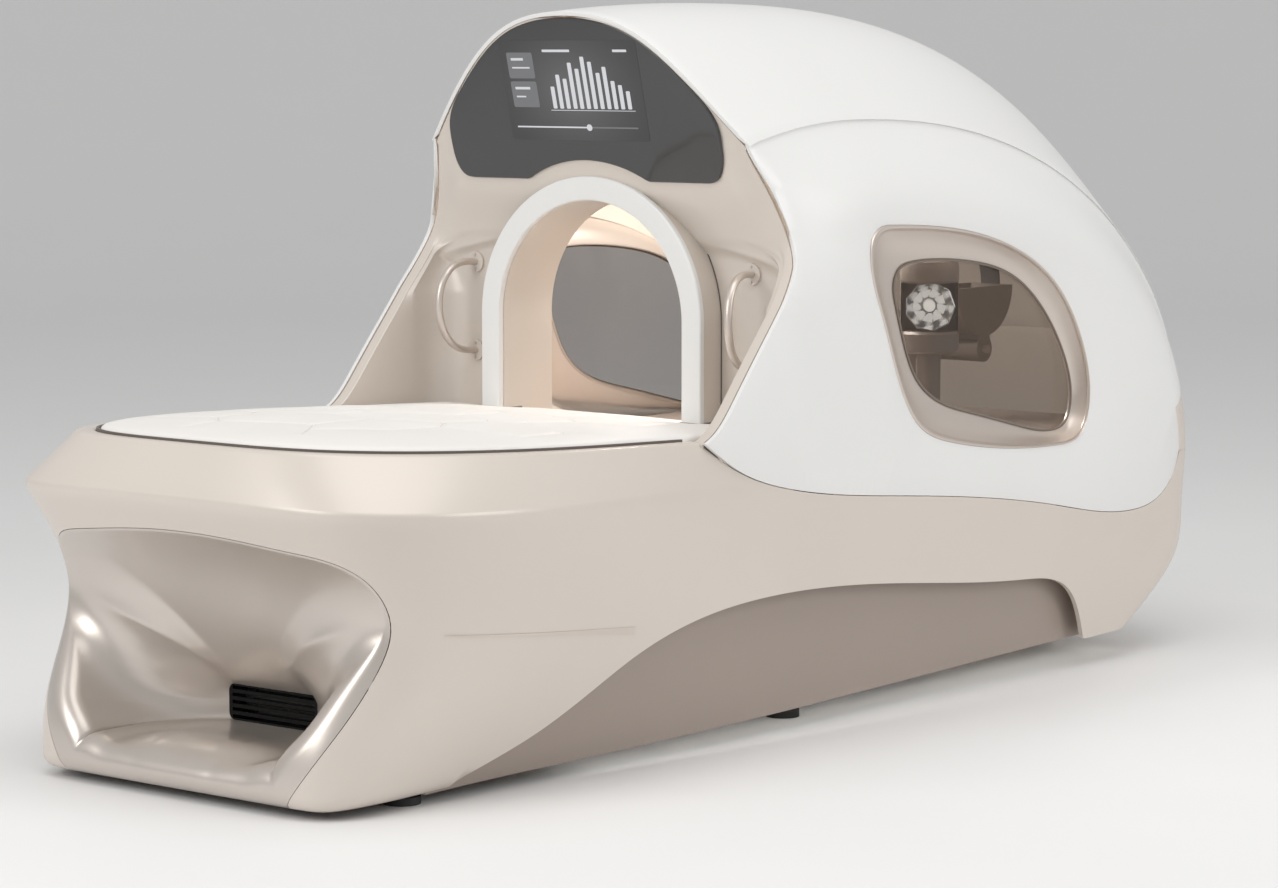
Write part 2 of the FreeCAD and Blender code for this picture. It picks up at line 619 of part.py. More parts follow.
window_points = [(18, 890), (105, 944), (330, 922), (560, 848), (718, 722), (790, 592), (762, 497),
                 (640, 480), (400, 503), (225, 546), (96, 700)]
pane_points = [(142, 820), (205, 868), (352, 868), (520, 838), (662, 760), (745, 656), (764, 574),
               (716, 522), (590, 524), (420, 560), (272, 612), (184, 712)]
window_centre = Vector(size.window_x, 0, size.window_z)


def window_wire(outline, inset, y):
    points = []
    for x, z in outline:
        arm = Vector(x, 0, z) - window_centre
        spot = window_centre + arm * (1 - inset / arm.Length)
        points.append(Vector(spot.x, y, spot.z))
    return closed_curve(points)


def window_cone(inset, sign):
    """The dished recess from the side's outer face down to the pane."""
    return Part.makeLoft([window_wire(window_points, inset, sign * size.hood_half),
                          window_wire(pane_points, inset, sign * (size.hood_half - size.window_depth))],
                         True, False)


raked_edge = [(0, 0), (68, 41), (144, 128), (241, 252), (279, 327)]


def raked_points(lead):
    return [Vector(size.tip_x + x - lead, 0, size.tip_height + z) for x, z in raked_edge]


side_line = [hood_line("side", travel) for travel in reversed(crown_front[:-1] + crown_rear + [1.0])]
seam = seam_points()
rake = list(reversed(raked_points(0)))
rake[0], rake[-1] = side_line[-1], seam[0]
side_wire = Part.Wire([open_curve(seam), open_curve([seam[-1]] + side_line[1:]), open_curve(rake)])
side_plate = side_prism(side_wire, size.hood_skin)
rake_front = list(reversed(raked_points(size.cheek_lead)))
cheek_back = size.bulkhead_x + size.bulkhead_thick
cheek_top = rake_front[0].z
cheek_rest = Part.makePolygon([rake_front[-1], Vector(rake_front[-1].x, 0, size.seam_rear),
                               Vector(cheek_back, 0, size.seam_rear), Vector(cheek_back, 0, cheek_top),
                               rake_front[0]])
cheek_wire = Part.Wire([open_curve(rake_front)] + cheek_rest.Edges)
over_seam = above_seam(-reach, reach)
cheek_depth = size.hood_half - size.hood_skin - size.cheek_inner
for side, sign in sides.items():
    inner_face = min(sign * size.hood_half, sign * (size.hood_half - size.hood_skin))
    plate = side_plate.copy()
    plate.translate(Vector(0, inner_face, 0))
    recess = window_cone(0, sign)
    keep(solid("Side_" + side, plate.cut(recess)), "hood_side_" + side)
    frame = recess.cut(window_cone(size.window_wall, sign))
    keep(solid("Window_frame_" + side, frame), "window_frame_" + side)
    pane = Part.Face(window_wire(pane_points, -size.pane_lap, sign * (size.hood_half - size.window_depth)))
    keep(solid("Pane_" + side, pane.extrude(Vector(0, -sign * size.pane_thick, 0))), "window_pane_" + side)
    cheek = side_prism(cheek_wire, cheek_depth)
    cheek.translate(Vector(0, min(sign * size.cheek_inner, sign * (size.cheek_inner + cheek_depth)), 0))
    keep(solid("Cheek_" + side, cheek.common(over_seam)), "cheek_" + side)

# Bulkhead: a bent wall between the cheeks, trimmed to the hood's section, with the arch opening.
bend_low, bend_high = size.front_side - 5, size.front_side + 50
face_top = size.hood_top
bulk_front = [(size.bulkhead_x, size.floor_height), (size.bulkhead_x, bend_low),
              (front_plane(bend_high) + size.glass_thick, bend_high),
              (front_plane(face_top) + size.glass_thick, face_top)]
bulk_back = [(x + size.bulkhead_thick, z) for x, z in reversed(bulk_front)]
bulk_points = [Vector(x, -reach, z) for x, z in bulk_front + bulk_back + bulk_front[:1]]
bulk_bent = Part.Face(Part.makePolygon(bulk_points)).extrude(Vector(0, 2 * reach, 0))
outline = []
for edge in hood_section(-1, size.hood_skin + size.fit_gap):
    outline += [Vector(-reach, p.y, p.z) for p in edge.discretize(9)[:-1]]
outline[0].z = size.front_side
outline.append(Vector(-reach, -outline[0].y, size.front_side))
frame_side = size.cheek_inner - size.fit_gap
arc = open_curve(outline)
legs = Part.makePolygon([outline[-1], Vector(-reach, -frame_side, size.front_side),
                         Vector(-reach, -frame_side, 0), Vector(-reach, frame_side, 0),
                         Vector(-reach, frame_side, size.front_side), outline[0]])
bulk_trim = Part.Face(Part.Wire([arc] + legs.Edges)).extrude(Vector(2 * reach, 0, 0))
bulkhead = bulk_bent.common(bulk_trim)
bulkhead = bulkhead.cut(arch_solid(size.arch_inner, size.sill_height - size.tunnel_wall, -reach, reach))
keep(solid("Bulkhead", bulkhead), "bulkhead")
ring = ring.cut(bulk_bent)
keep(solid("Arch_ring", max(ring.Solids, key=lambda part: part.Volume)), "arch_ring")
tunnel = arch_solid(size.arch_inner, size.sill_height - size.tunnel_wall, size.bulkhead_x,
                    size.arch_x + size.tunnel_depth)
tunnel = tunnel.cut(arch_solid(size.arch_inner - size.tunnel_wall, size.sill_height, -reach, reach))
sleeve_low = size.arch_centre - size.sleeve_drop
sleeve = arch_solid(size.arch_inner, sleeve_low, size.arch_x + arch_lift, size.bulkhead_x)
sleeve = sleeve.cut(arch_solid(size.arch_inner - size.tunnel_wall, 0, -reach, reach))
keep(solid("Tunnel", tunnel.fuse(sleeve)), "arch_tunnel")
notch_room = arch_solid(size.arch_outer + size.notch_gap, size.sill_height, -reach, size.bulkhead_x)

# Display: free-form pane on the tilted face, notched over the arch.
notch_half = 0.55 * size.arch_outer
crown_edge = hood_section(-1, size.hood_skin + size.display_border)[1]
crown_line = [(point.y, point.z) for point in reversed(crown_edge.discretize(9))]
display_half = [point for point in crown_line if point[1] > size.display_low + 165]
display_half += [(size.display_half - 2, size.display_low + 108),
                 (size.display_half, size.display_low + 66), (size.display_half - 22, size.display_low + 22),
                 (size.display_half - 66, size.display_low)]
display_notch = [(notch_half + 30, size.display_low - 2), (notch_half - 22, size.display_low + 12),
                 (0.28 * size.arch_outer, size.display_low + 31), (0, size.display_low + 37)]


def on_face(points):
    return [Vector(front_plane(z) + size.glass_thick, y, z) for y, z in points]


right = display_half + display_notch
left = [(-y, z) for y, z in reversed(right[1:-1])]
display_face = Part.Face(closed_curve(on_face(right + left)))
out = Vector(-1, 0, -size.front_slope).normalize()
keep(solid("Display", display_face.extrude(out * size.glass_thick).cut(notch_room)), "display_glass")

# Grab handles: bent tubes with round flanges and their screws.
flanges = []
screws = []
for side, sign in sides.items():
    y = sign * size.handle_y
    top, low = size.handle_top, size.handle_top - size.handle_drop
    root, far = size.bulkhead_x - size.flange_height, size.bulkhead_x - size.handle_reach
    bend = size.handle_bend
    half_turn = bend * (1 - math.sqrt(0.5))
    corners = [Vector(root, y, top), Vector(far + bend, y, top), Vector(far + half_turn, y, top - half_turn),
               Vector(far, y, top - bend), Vector(far, y, low + bend),
               Vector(far + half_turn, y, low + half_turn), Vector(far + bend, y, low), Vector(root, y, low)]
    path = Part.Wire([Part.makeLine(corners[0], corners[1]), Part.Arc(*corners[1:4]).toShape(),
                      Part.makeLine(corners[3], corners[4]), Part.Arc(*corners[4:7]).toShape(),
                      Part.makeLine(corners[6], corners[7])])
    ring_section = Part.Wire(Part.makeCircle(size.handle_radius, corners[0], Vector(1, 0, 0)))
    keep(solid("Handle_" + side, path.makePipeShell([ring_section], True, True)), "handle_" + side)
    for level, drop in (("top", "0"), ("low", "handle_drop")):
        tag = "%s_%s" % (side, level)
        height = "handle_top - " + drop
        flanges.append(rod("Flange_" + tag, "flange_radius", "flange_height", "bulkhead_x - flange_height",
                           "%d * handle_y" % sign, height, along_x))
        for turn in (-1, 1):
            screws.append(rod("Screw_%s_%d" % (tag, turn + 1), "screw_radius", "screw_height",
                              "bulkhead_x - flange_height - screw_height", "%d * handle_y" % sign,
                              "%s + %d * (flange_radius + handle_radius) / 2" % (height, turn), along_x))
keep(group("Flanges", flanges), "handle_flanges")
keep(group("Screws", screws), "flange_screws")

# Chamber floor and the drive: tower, axle, bearings, arms, foot cups, straps, brake.
floor_plate = block("Floor_plate", "floor_rear - bulkhead_x", "2 * floor_half", "floor_thick", "bulkhead_x",
                    "-floor_half", "floor_height - floor_thick")
keep(floor_plate, "chamber_floor")


def tower_outline(body, name):
    """A sketch of the tower's side: straight legs and a half-round head about the axle."""
    sketch = body.newObject("Sketcher::SketchObject", name)
    plane = [item for item in body.Origin.OriginFeatures if item.Role == "XZ_Plane"][0]
    sketch.AttachmentSupport = [(plane, "")]
    sketch.MapMode = "FlatFace"
    half, height = size.tower_length / 2, size.axle_height - size.floor_height
    low = 0
    sketch.addGeometry(Part.LineSegment(Vector(-half, low, 0), Vector(half, low, 0)))
    sketch.addGeometry(Part.LineSegment(Vector(half, low, 0), Vector(half, height, 0)))
    sketch.addGeometry(Part.ArcOfCircle(Part.Circle(Vector(0, height, 0), Vector(0, 0, 1), half), 0, math.pi))
    sketch.addGeometry(Part.LineSegment(Vector(-half, height, 0), Vector(-half, low, 0)))
    for first, second in ((0, 1), (1, 2), (2, 3), (3, 0)):
        sketch.addConstraint(Sketcher.Constraint("Coincident", first, 2, second, 1))
    sketch.addConstraint(Sketcher.Constraint("Horizontal", 0))
    sketch.addConstraint(Sketcher.Constraint("Vertical", 1))
    sketch.addConstraint(Sketcher.Constraint("Vertical", 3))
    sketch.addConstraint(Sketcher.Constraint("DistanceY", -1, 1, 2, 3, height))
    sketch.renameConstraint(sketch.ConstraintCount - 1, "AxleRise")
    sketch.addConstraint(Sketcher.Constraint("DistanceX", 0, 1, 0, 2, 2 * half))
    sketch.renameConstraint(sketch.ConstraintCount - 1, "Span")
    sketch.addConstraint(Sketcher.Constraint("PointOnObject", 2, 3, -2))
    sketch.addConstraint(Sketcher.Constraint("DistanceY", -1, 1, 0, 1, low))
    sketch.renameConstraint(sketch.ConstraintCount - 1, "Foot")
    return sketch


tower = doc.addObject("PartDesign::Body", "Tower_body")
tower_sketch = tower_outline(tower, "Tower_side")
bind(tower_sketch, Constraints__AxleRise="axle_height - floor_height", Constraints__Span="tower_length",
     Constraints__Foot="0")
tower_pad = tower.newObject("PartDesign::Pad", "Tower_pad")
tower_pad.Profile = tower_sketch
tower_pad.Midplane = True
bind(tower_pad, Length="tower_width")
place(tower, "tower_x", "0", "floor_height")
tower_hollow = rod("Tower_hollow", "drum_radius + magnet_gap + magnet_thick",
                   "tower_width - 2 * (bearing_width + tower_wall)", "tower_x",
                   "bearing_width + tower_wall - tower_width / 2", "axle_height", along_y)
bearing_seat = rod("Bearing_seat", "bearing_radius", "tower_width + 2", "tower_x", "-tower_width / 2 - 1",
                   "axle_height", along_y)
keep(cut("Tower", tower, tower_hollow, bearing_seat), "drive_tower")

bearings = []
for side, sign in sides.items():
    y = "tower_width / 2 - bearing_width" if sign > 0 else "-tower_width / 2"
    race = rod("Race_" + side, "bearing_radius", "bearing_width", "tower_x", y, "axle_height", along_y)
    race_bore = rod("Race_bore_" + side, "axle_radius + running_gap", "tower_width + 4", "tower_x",
                    "-tower_width / 2 - 2", "axle_height", along_y)
    bearings.append(cut("Bearing_" + side, race, race_bore))
keep(group("Bearings", bearings), "crank_bearings")

axle_reach = "(tower_width / 2 + arm_gap + arm_thick)"
axle = rod("Axle", "axle_radius", "2 * " + axle_reach, "tower_x", "-" + axle_reach, "axle_height", along_y)
keep(axle, "crank_axle")
drum = rod("Drum_disc", "drum_radius", "drum_width", "tower_x", "-drum_width / 2", "axle_height", along_y)
drum_bore = rod("Drum_bore", "axle_radius", "drum_width + 2", "tower_x", "-drum_width / 2 - 1",
                "axle_height", along_y)
keep(cut("Drum", drum, drum_bore), "brake_drum")
magnet_form = block("Magnet_block", "drum_radius", "drum_width", "2 * magnet_thick",
                    "tower_x - drum_radius / 2", "-drum_width / 2",
                    "axle_height - drum_radius - magnet_gap - magnet_thick - 2")
magnet_block = doc.addObject("Part::Common", "Magnet_arc")
magnet_block.Base = magnet_form
magnet_block.Tool = rod("Magnet_back", "drum_radius + magnet_gap + magnet_thick", "drum_width + 2", "tower_x",
                        "-drum_width / 2 - 1", "axle_height", along_y)
magnet_relief = rod("Magnet_relief", "drum_radius + magnet_gap", "drum_width + 2", "tower_x",
                    "-drum_width / 2 - 1", "axle_height", along_y)
keep(cut("Magnet", magnet_block, magnet_relief), "brake_magnet")

for side, sign in sides.items():
    # The near arm points to the tail and the far arm to the head end.
    pin_x = "(tower_x + %d * crank_radius)" % -sign
    arm_y = "tower_width / 2 + arm_gap" if sign > 0 else "-tower_width / 2 - arm_gap - arm_thick"
    hub = rod("Arm_hub_" + side, "arm_radius", "arm_thick", "tower_x", arm_y, "axle_height", along_y)
    end = rod("Arm_end_" + side, "arm_radius * 0.8", "arm_thick", pin_x, arm_y, "axle_height", along_y)
    web = block("Arm_web_" + side, "crank_radius", "arm_thick", "arm_radius * 1.6",
                "min(tower_x; %s)" % pin_x, arm_y, "axle_height - arm_radius * 0.8")
    pin_y = axle_reach if sign > 0 else "-%s - cup_width - 2 * cup_gap" % axle_reach
    pin = rod("Pin_" + side, "pin_radius", "cup_width + 2 * cup_gap", pin_x, pin_y, "axle_height", along_y)
    arm_bore = rod("Arm_bore_" + side, "axle_radius", "arm_thick + 2", "tower_x", arm_y + " - 1",
                   "axle_height", along_y)
    keep(cut("Arm_" + side, fuse("Arm_form_" + side, hub, end, web, pin), arm_bore), "crank_arm_" + side)
    cup_y = axle_reach + " + cup_gap" if sign > 0 else "-%s - cup_gap - cup_width" % axle_reach
    cup_z = "axle_height + cup_rise"
    cup_outer = rod("Cup_outer_" + side, "cup_radius", "cup_width", pin_x, cup_y, cup_z, along_y)
    cup_inner = rod("Cup_inner_" + side, "cup_radius - cup_wall", "cup_width - 2 * cup_wall", pin_x,
                    cup_y + " + cup_wall", cup_z, along_y)
    cup_lid = block("Cup_lid_" + side, "2 * cup_radius + 4", "cup_width + 4", "cup_radius + 4",
                    pin_x + " - cup_radius - 2", cup_y + " - 2", cup_z)
    cup_hub = rod("Cup_hub_" + side, "hub_radius", "cup_width", pin_x, cup_y, "axle_height", along_y)
    cup_neck = block("Cup_neck_" + side, "hub_radius * 1.4", "cup_width", "cup_rise - cup_radius + cup_wall",
                     pin_x + " - hub_radius * 0.7", cup_y, "axle_height")
    cup_bore = rod("Cup_bore_" + side, "pin_radius + running_gap", "cup_width + 2", pin_x, cup_y + " - 1",
                   "axle_height", along_y)
    cup_room = rod("Cup_room_" + side, "cup_radius - cup_wall / 2", "cup_width + 2", pin_x, cup_y + " - 1",
                   cup_z, along_y)
    form = fuse("Cup_form_" + side, cut("Cup_shell_" + side, cup_outer, cup_inner, cup_lid), cup_hub,
                cut("Cup_stalk_" + side, cup_neck, cup_room))
    keep(cut("Cup_" + side, form, cup_bore), "foot_cup_" + side)
    strap_y = cup_y + " + cup_width / 2 - strap_width / 2"
    strap_outer = rod("Strap_outer_" + side, "cup_radius", "strap_width", pin_x, strap_y, cup_z, along_y)
    strap_inner = rod("Strap_inner_" + side, "cup_radius - strap_thick", "strap_width + 2", pin_x,
                      strap_y + " - 1", cup_z, along_y)
    strap_cut = block("Strap_cut_" + side, "2 * cup_radius + 4", "strap_width + 4", "cup_radius + 4",
                      pin_x + " - cup_radius - 2", strap_y + " - 2", cup_z + " - cup_radius - 4")
    keep(cut("Strap_" + side, strap_outer, strap_inner, strap_cut), "foot_strap_" + side)

# Infrared lamp: a round housing on a column beside the near cup, its reflector towards the arch.
towards_arch = FreeCAD.Rotation(Vector(0, 1, 0), -90)


def cone(name, inset, x):
    item = doc.addObject("Part::Cone", name)
    item.Placement.Rotation = towards_arch
    bind(item, Radius1="lamp_radius / 2 - " + inset, Radius2="lamp_radius - " + inset, Height="lamp_depth")
    return place(item, x, "lamp_y", "lamp_height")


bowl_back = "lamp_x + lamp_depth / 2"
housing_x = "lamp_x + housing_radius / 2"
housing_low = "lamp_height - housing_height / 2"
column = rod("Column", "column_radius", housing_low + " - floor_height", housing_x, "lamp_y", "floor_height")
housing = rod("Housing", "housing_radius", "housing_height", housing_x, "lamp_y", housing_low)
housing_room = cone("Housing_room", "0", bowl_back)
keep(cut("Lamp_stand", fuse("Stand_form", column, housing), housing_room), "lamp_brackets")
bowl = cone("Bowl", "0", bowl_back)
bowl_hollow = cone("Bowl_hollow", "lamp_wall", bowl_back + " - lamp_wall")
keep(cut("Reflector", bowl, bowl_hollow), "lamp_reflectors")

# Hidden units on the chassis, light strips under it, inlet plate and rocker at the tail.
blower = rod("Blower_drum", "blower_radius", "blower_length", "foot_rear_x - 420 + post_width / 2",
             "-blower_length / 2", rail_top + " + blower_radius", along_y)
keep(blower, "vacuum_blower")
keep(block("Control", "box_length", "box_width", "box_height", "foot_mid_x - 10", "-box_width / 2", rail_top),
     "control_box")
strips = [block("Glow_" + side, "rail_rear - rail_front - glow_setback", "glow_width", "glow_height",
                "rail_front + glow_setback",
                "%d * (rail_y + rail_width / 2 + glow_width / 2) - glow_width / 2" % sign, "rail_low")
          for side, sign in sides.items()]
keep(group("Glow", strips), "light_strips")

plate_at = "(bed_length / 2 - plate_sink - plate_thick)"
plate = block("Plate", "plate_thick", "2 * plate_half - 2 * fit_gap", "plate_height - 2 * fit_gap",
              plate_at, "fit_gap - plate_half", "plate_low + fit_gap")
rocker_y, rocker_z = "plate_half / 2", "plate_low + plate_height / 2"
rocker_hole = block("Rocker_hole", "plate_thick + 2", "rocker_width + 2 * rocker_gap",
                    "rocker_length + 2 * rocker_gap", plate_at + " - 1",
                    rocker_y + " - rocker_width / 2 - rocker_gap",
                    rocker_z + " - rocker_length / 2 - rocker_gap")
socket = block("Socket", "plate_thick + 2", "socket_width", "socket_height", plate_at + " - 1",
               "-plate_half / 2 - socket_width / 2", rocker_z + " - socket_height / 2")
pivot_x = plate_at + " + plate_thick / 2"
pivot_holes = rod("Pivot_holes", "pivot_radius + running_gap", "rocker_width + 8", pivot_x,
                  rocker_y + " - rocker_width / 2 - 4", rocker_z, along_y)
keep(cut("Inlet", plate, rocker_hole, socket, pivot_holes), "inlet_plate")
rocker_body = block("Rocker_body", "plate_thick", "rocker_width", "rocker_length - 4", plate_at + " + 2",
                    rocker_y + " - rocker_width / 2", rocker_z + " - rocker_length / 2 + 2")
rocker_pin = rod("Rocker_pin", "pivot_radius", "rocker_width + 6", pivot_x,
                 rocker_y + " - rocker_width / 2 - 3", rocker_z, along_y)
keep(fuse("Rocker", rocker_body, rocker_pin), "power_switch")

doc.recompute()
for item in doc.Objects:
    if "Invalid" in item.State or "Error" in item.State:
        raise RuntimeError("%s failed: %s" % (item.Label, item.State))
for item in pieces:
    if item.Shape.isNull() or not item.Shape.isValid() or not item.Shape.Solids:
        raise RuntimeError("%s has no valid solid" % item.Label)
os.makedirs("parts", exist_ok=True)
for item in pieces:
    item.Shape.exportStep("parts/%s.step" % item.Label)
print(len(pieces), "pieces written")
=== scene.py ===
import json
import math
import random
from contextlib import contextmanager

import bmesh
import bpy
import numpy as np
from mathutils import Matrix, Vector

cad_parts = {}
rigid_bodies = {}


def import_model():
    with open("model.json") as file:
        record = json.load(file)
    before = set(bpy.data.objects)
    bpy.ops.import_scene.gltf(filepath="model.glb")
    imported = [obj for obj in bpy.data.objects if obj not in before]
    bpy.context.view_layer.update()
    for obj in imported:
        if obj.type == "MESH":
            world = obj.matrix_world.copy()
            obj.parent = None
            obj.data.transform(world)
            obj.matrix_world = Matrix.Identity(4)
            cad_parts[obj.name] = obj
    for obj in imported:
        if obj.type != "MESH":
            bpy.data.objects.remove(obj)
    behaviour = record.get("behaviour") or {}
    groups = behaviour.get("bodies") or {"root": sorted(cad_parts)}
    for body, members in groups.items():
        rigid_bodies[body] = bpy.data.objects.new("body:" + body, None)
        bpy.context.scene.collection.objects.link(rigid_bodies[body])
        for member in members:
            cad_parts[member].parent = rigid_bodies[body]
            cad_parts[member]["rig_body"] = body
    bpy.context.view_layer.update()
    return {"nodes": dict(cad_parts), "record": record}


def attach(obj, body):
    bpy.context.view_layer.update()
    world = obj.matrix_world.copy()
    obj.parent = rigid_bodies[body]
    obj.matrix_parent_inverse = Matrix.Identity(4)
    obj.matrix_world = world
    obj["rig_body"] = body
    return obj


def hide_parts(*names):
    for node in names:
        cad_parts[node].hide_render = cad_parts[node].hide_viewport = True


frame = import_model()
nodes = frame["nodes"]
scene = bpy.context.scene
print("frame loaded,", len(nodes), "nodes")


# Curves and small maths

def smoothStep(value):
    value = np.clip(value, 0.0, 1.0)
    return value * value * (3 - 2 * value)


def blendTo(low, high, share):
    return low + (high - low) * share


def unit(vectors):
    return vectors / np.linalg.norm(vectors, axis=-1, keepdims=True)


def fullTurn(count):
    return np.linspace(0, 2 * math.pi, count, endpoint=False)


def walkAlong(points):
    # length walked at each point of a line
    return np.concatenate([[0], np.cumsum(np.linalg.norm(np.diff(points, axis=0), axis=1))])


def pickAlong(points, walk, at):
    return np.column_stack([np.interp(at, walk, points[:, i]) for i in range(points.shape[1])])


def bezier(poles, count):
    poles = np.asarray(poles, float)
    t = np.linspace(0, 1, count)[:, None]
    if len(poles) == 3:
        return (1 - t) ** 2 * poles[0] + 2 * t * (1 - t) * poles[1] + t ** 2 * poles[2]
    return ((1 - t) ** 3 * poles[0] + 3 * t * (1 - t) ** 2 * poles[1]
            + 3 * t ** 2 * (1 - t) * poles[2] + t ** 3 * poles[3])


def splineThrough(points, knots, at, loop=False):
    # cubic spline through points at knots: natural ends, or periodic when loop is set
    points = np.asarray(points, float)
    knots = np.asarray(knots, float)
    if loop:
        points = np.vstack([points, points[:1]])
    count = len(points)
    gaps = np.diff(knots)
    slopes = np.diff(points, axis=0) / gaps.reshape((-1,) + (1,) * (points.ndim - 1))
    matrix = np.zeros((count, count))
    right = np.zeros_like(points)
    for i in range(1, count - 1):
        matrix[i, i - 1:i + 2] = gaps[i - 1], 2 * (gaps[i - 1] + gaps[i]), gaps[i]
        right[i] = 6 * (slopes[i] - slopes[i - 1])
    if loop:
        matrix[0, 0], matrix[0, -1] = 1, -1
        matrix[-1, 0], matrix[-1, 1] = 2 * gaps[0], gaps[0]
        matrix[-1, -1], matrix[-1, -2] = 2 * gaps[-1], gaps[-1]
        right[-1] = 6 * (slopes[0] - slopes[-1])
    else:
        matrix[0, 0] = matrix[-1, -1] = 1
    flat = np.linalg.solve(matrix, right.reshape(count, -1)).reshape(points.shape)
    at = np.asarray(at, float)
    spot = np.clip(np.searchsorted(knots, at, side="right") - 1, 0, count - 2)
    shape = (-1,) + (1,) * (points.ndim - 1)
    gap = gaps[spot].reshape(shape)
    after = (at - knots[spot]).reshape(shape)
    before = gap - after
    return (flat[spot] * before ** 3 / (6 * gap) + flat[spot + 1] * after ** 3 / (6 * gap)
            + (points[spot] / gap - flat[spot] * gap / 6) * before
            + (points[spot + 1] / gap - flat[spot + 1] * gap / 6) * after)


def closedSpline(points, count):
    points = np.asarray(points, float)
    walk = walkAlong(np.vstack([points, points[:1]]))
    return splineThrough(points, walk / walk[-1], np.arange(count) / count, loop=True)


def openSpline(points, count):
    points = np.asarray(points, float)
    walk = walkAlong(points)
    return splineThrough(points, walk / walk[-1], np.linspace(0, 1, count))


def evenRing(points, count):
    # closed outline with evenly spaced points, starting where the outline starts
    points = np.vstack([points, points[:1]])
    walk = walkAlong(points)
    return pickAlong(points, walk, np.linspace(0, walk[-1], count, endpoint=False))


def insetRing(points, distance):
    along = unit(np.roll(points, -1, axis=0) - np.roll(points, 1, axis=0))
    inward = np.column_stack([-along[:, 1], along[:, 0]])
    if np.sum(inward * (points.mean(axis=0) - points)) < 0:
        inward = -inward
    return points + inward * distance


# Mesh helpers

def gridFaces(rows, columns, loop=False, offset=0):
    faces = []
    span = columns if loop else columns - 1
    for r in range(rows - 1):
        for c in range(span):
            n = (c + 1) % columns
            faces.append((offset + r * columns + c, offset + r * columns + n,
                          offset + (r + 1) * columns + n, offset + (r + 1) * columns + c))
    return faces


def mirrored(points):
    return points * np.array([1, -1, 1])


def gridPair(grid):
    # points and faces of a grid and of its mirror image on the minus Y side
    verts = list(grid.reshape(-1, 3)) + list(mirrored(grid).reshape(-1, 3))
    rows, columns = grid.shape[:2]
    return verts, gridFaces(rows, columns) + gridFaces(rows, columns, offset=rows * columns)


def linkObject(name, data):
    thing = bpy.data.objects.new(name, data)
    scene.collection.objects.link(thing)
    return thing


@contextmanager
def editing(mesh):
    bm = bmesh.new()
    bm.from_mesh(mesh)
    yield bm
    bm.to_mesh(mesh)
    bm.free()


def buildPiece(name, verts, faces, merge=1e-5):
    mesh = bpy.data.meshes.new(name)
    mesh.from_pydata([tuple(v) for v in verts], [], faces)
    with editing(mesh) as bm:
        bmesh.ops.remove_doubles(bm, verts=bm.verts, dist=merge)
        bmesh.ops.dissolve_degenerate(bm, dist=merge, edges=bm.edges)
        bmesh.ops.recalc_face_normals(bm, faces=bm.faces)
    return linkObject(name, mesh)


def sheetPiece(name, rows, loop=False, caps=(), merge=1e-5):
    # a piece from rows of points, closed round each row when loop is set, with extra faces in caps
    rows = np.asarray(rows)
    faces = gridFaces(len(rows), rows.shape[1], loop=loop) + list(caps)
    return buildPiece(name, rows.reshape(-1, 3), faces, merge)


def facePoint(piece, toward):
    # turns an open sheet so that its faces look the way that toward gives at each face centre
    with editing(piece.data) as bm:
        bm.normal_update()
        score = sum(f.normal.dot(Vector(toward(f.calc_center_median()))) * f.calc_area() for f in bm.faces)
        if score < 0:
            bmesh.ops.reverse_faces(bm, faces=bm.faces)


def applyModifiers(piece):
    graph = bpy.context.evaluated_depsgraph_get()
    mesh = bpy.data.meshes.new_from_object(piece.evaluated_get(graph))
    piece.modifiers.clear()
    piece.data = mesh


def thicken(piece, wall, rimMaterial=0, backMaterial=0):
    mod = piece.modifiers.new("wall", "SOLIDIFY")
    mod.thickness = wall
    mod.offset = -1
    mod.material_offset = backMaterial
    mod.material_offset_rim = rimMaterial


def roundEdges(piece, width, segments=2, angle=40):
    mod = piece.modifiers.new("round", "BEVEL")
    mod.width = width
    mod.segments = segments
    mod.limit_method = "ANGLE"
    mod.angle_limit = math.radians(angle)
    mod.use_clamp_overlap = True


def shadeByAngle(piece, angle=38):
    with editing(piece.data) as bm:
        for f in bm.faces:
            f.smooth = True
        for e in bm.edges:
            e.smooth = len(e.link_faces) != 2 or e.calc_face_angle(0) < math.radians(angle)


def dress(piece, material, body="frame", replaced=(), angle=38):
    applyModifiers(piece)
    if not piece.data.materials:
        piece.data.materials.append(material)
    shadeByAngle(piece, angle)
    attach(piece, body)
    if replaced:
        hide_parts(*replaced)
    return piece


def dressSheet(piece, toward, wall, material, replaced=(), angle=38):
    # turns an open sheet the way that toward gives, thickens it to a wall and dresses it
    facePoint(piece, toward)
    thicken(piece, wall)
    return dress(piece, material, replaced=replaced, angle=angle)


def smoothCopy(node, material, angle=30):
    # a merged, smooth-shaded copy that stands for a node whose shape is right
    mesh = nodes[node].data.copy()
    mesh.materials.clear()
    with editing(mesh) as bm:
        bmesh.ops.remove_doubles(bm, verts=bm.verts, dist=2e-5)
    piece = linkObject(node + ".smooth", mesh)
    return dress(piece, material, nodes[node]["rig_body"], [node], angle)


slotOf = {row["node"]: row["material_slot"] for row in frame["record"]["subparts"]}
sides = (("left", 1), ("right", -1))


# Shader groups and finishes

def newGroup(name, inputs, outputs):
    group = bpy.data.node_groups.new(name, "ShaderNodeTree")
    for label, kind, value in inputs:
        socket = group.interface.new_socket(label, in_out="INPUT", socket_type=kind)
        socket.default_value = value
    for label, kind in outputs:
        group.interface.new_socket(label, in_out="OUTPUT", socket_type=kind)
    return group, group.nodes.new("NodeGroupInput"), group.nodes.new("NodeGroupOutput")


def setInputs(node, inputs):
    for label, value in dict(inputs).items():
        node.inputs[label].default_value = value


def addNode(tree, kind, inputs=(), **settings):
    node = tree.nodes.new(kind)
    for label, value in settings.items():
        setattr(node, label, value)
    setInputs(node, inputs)
    return node


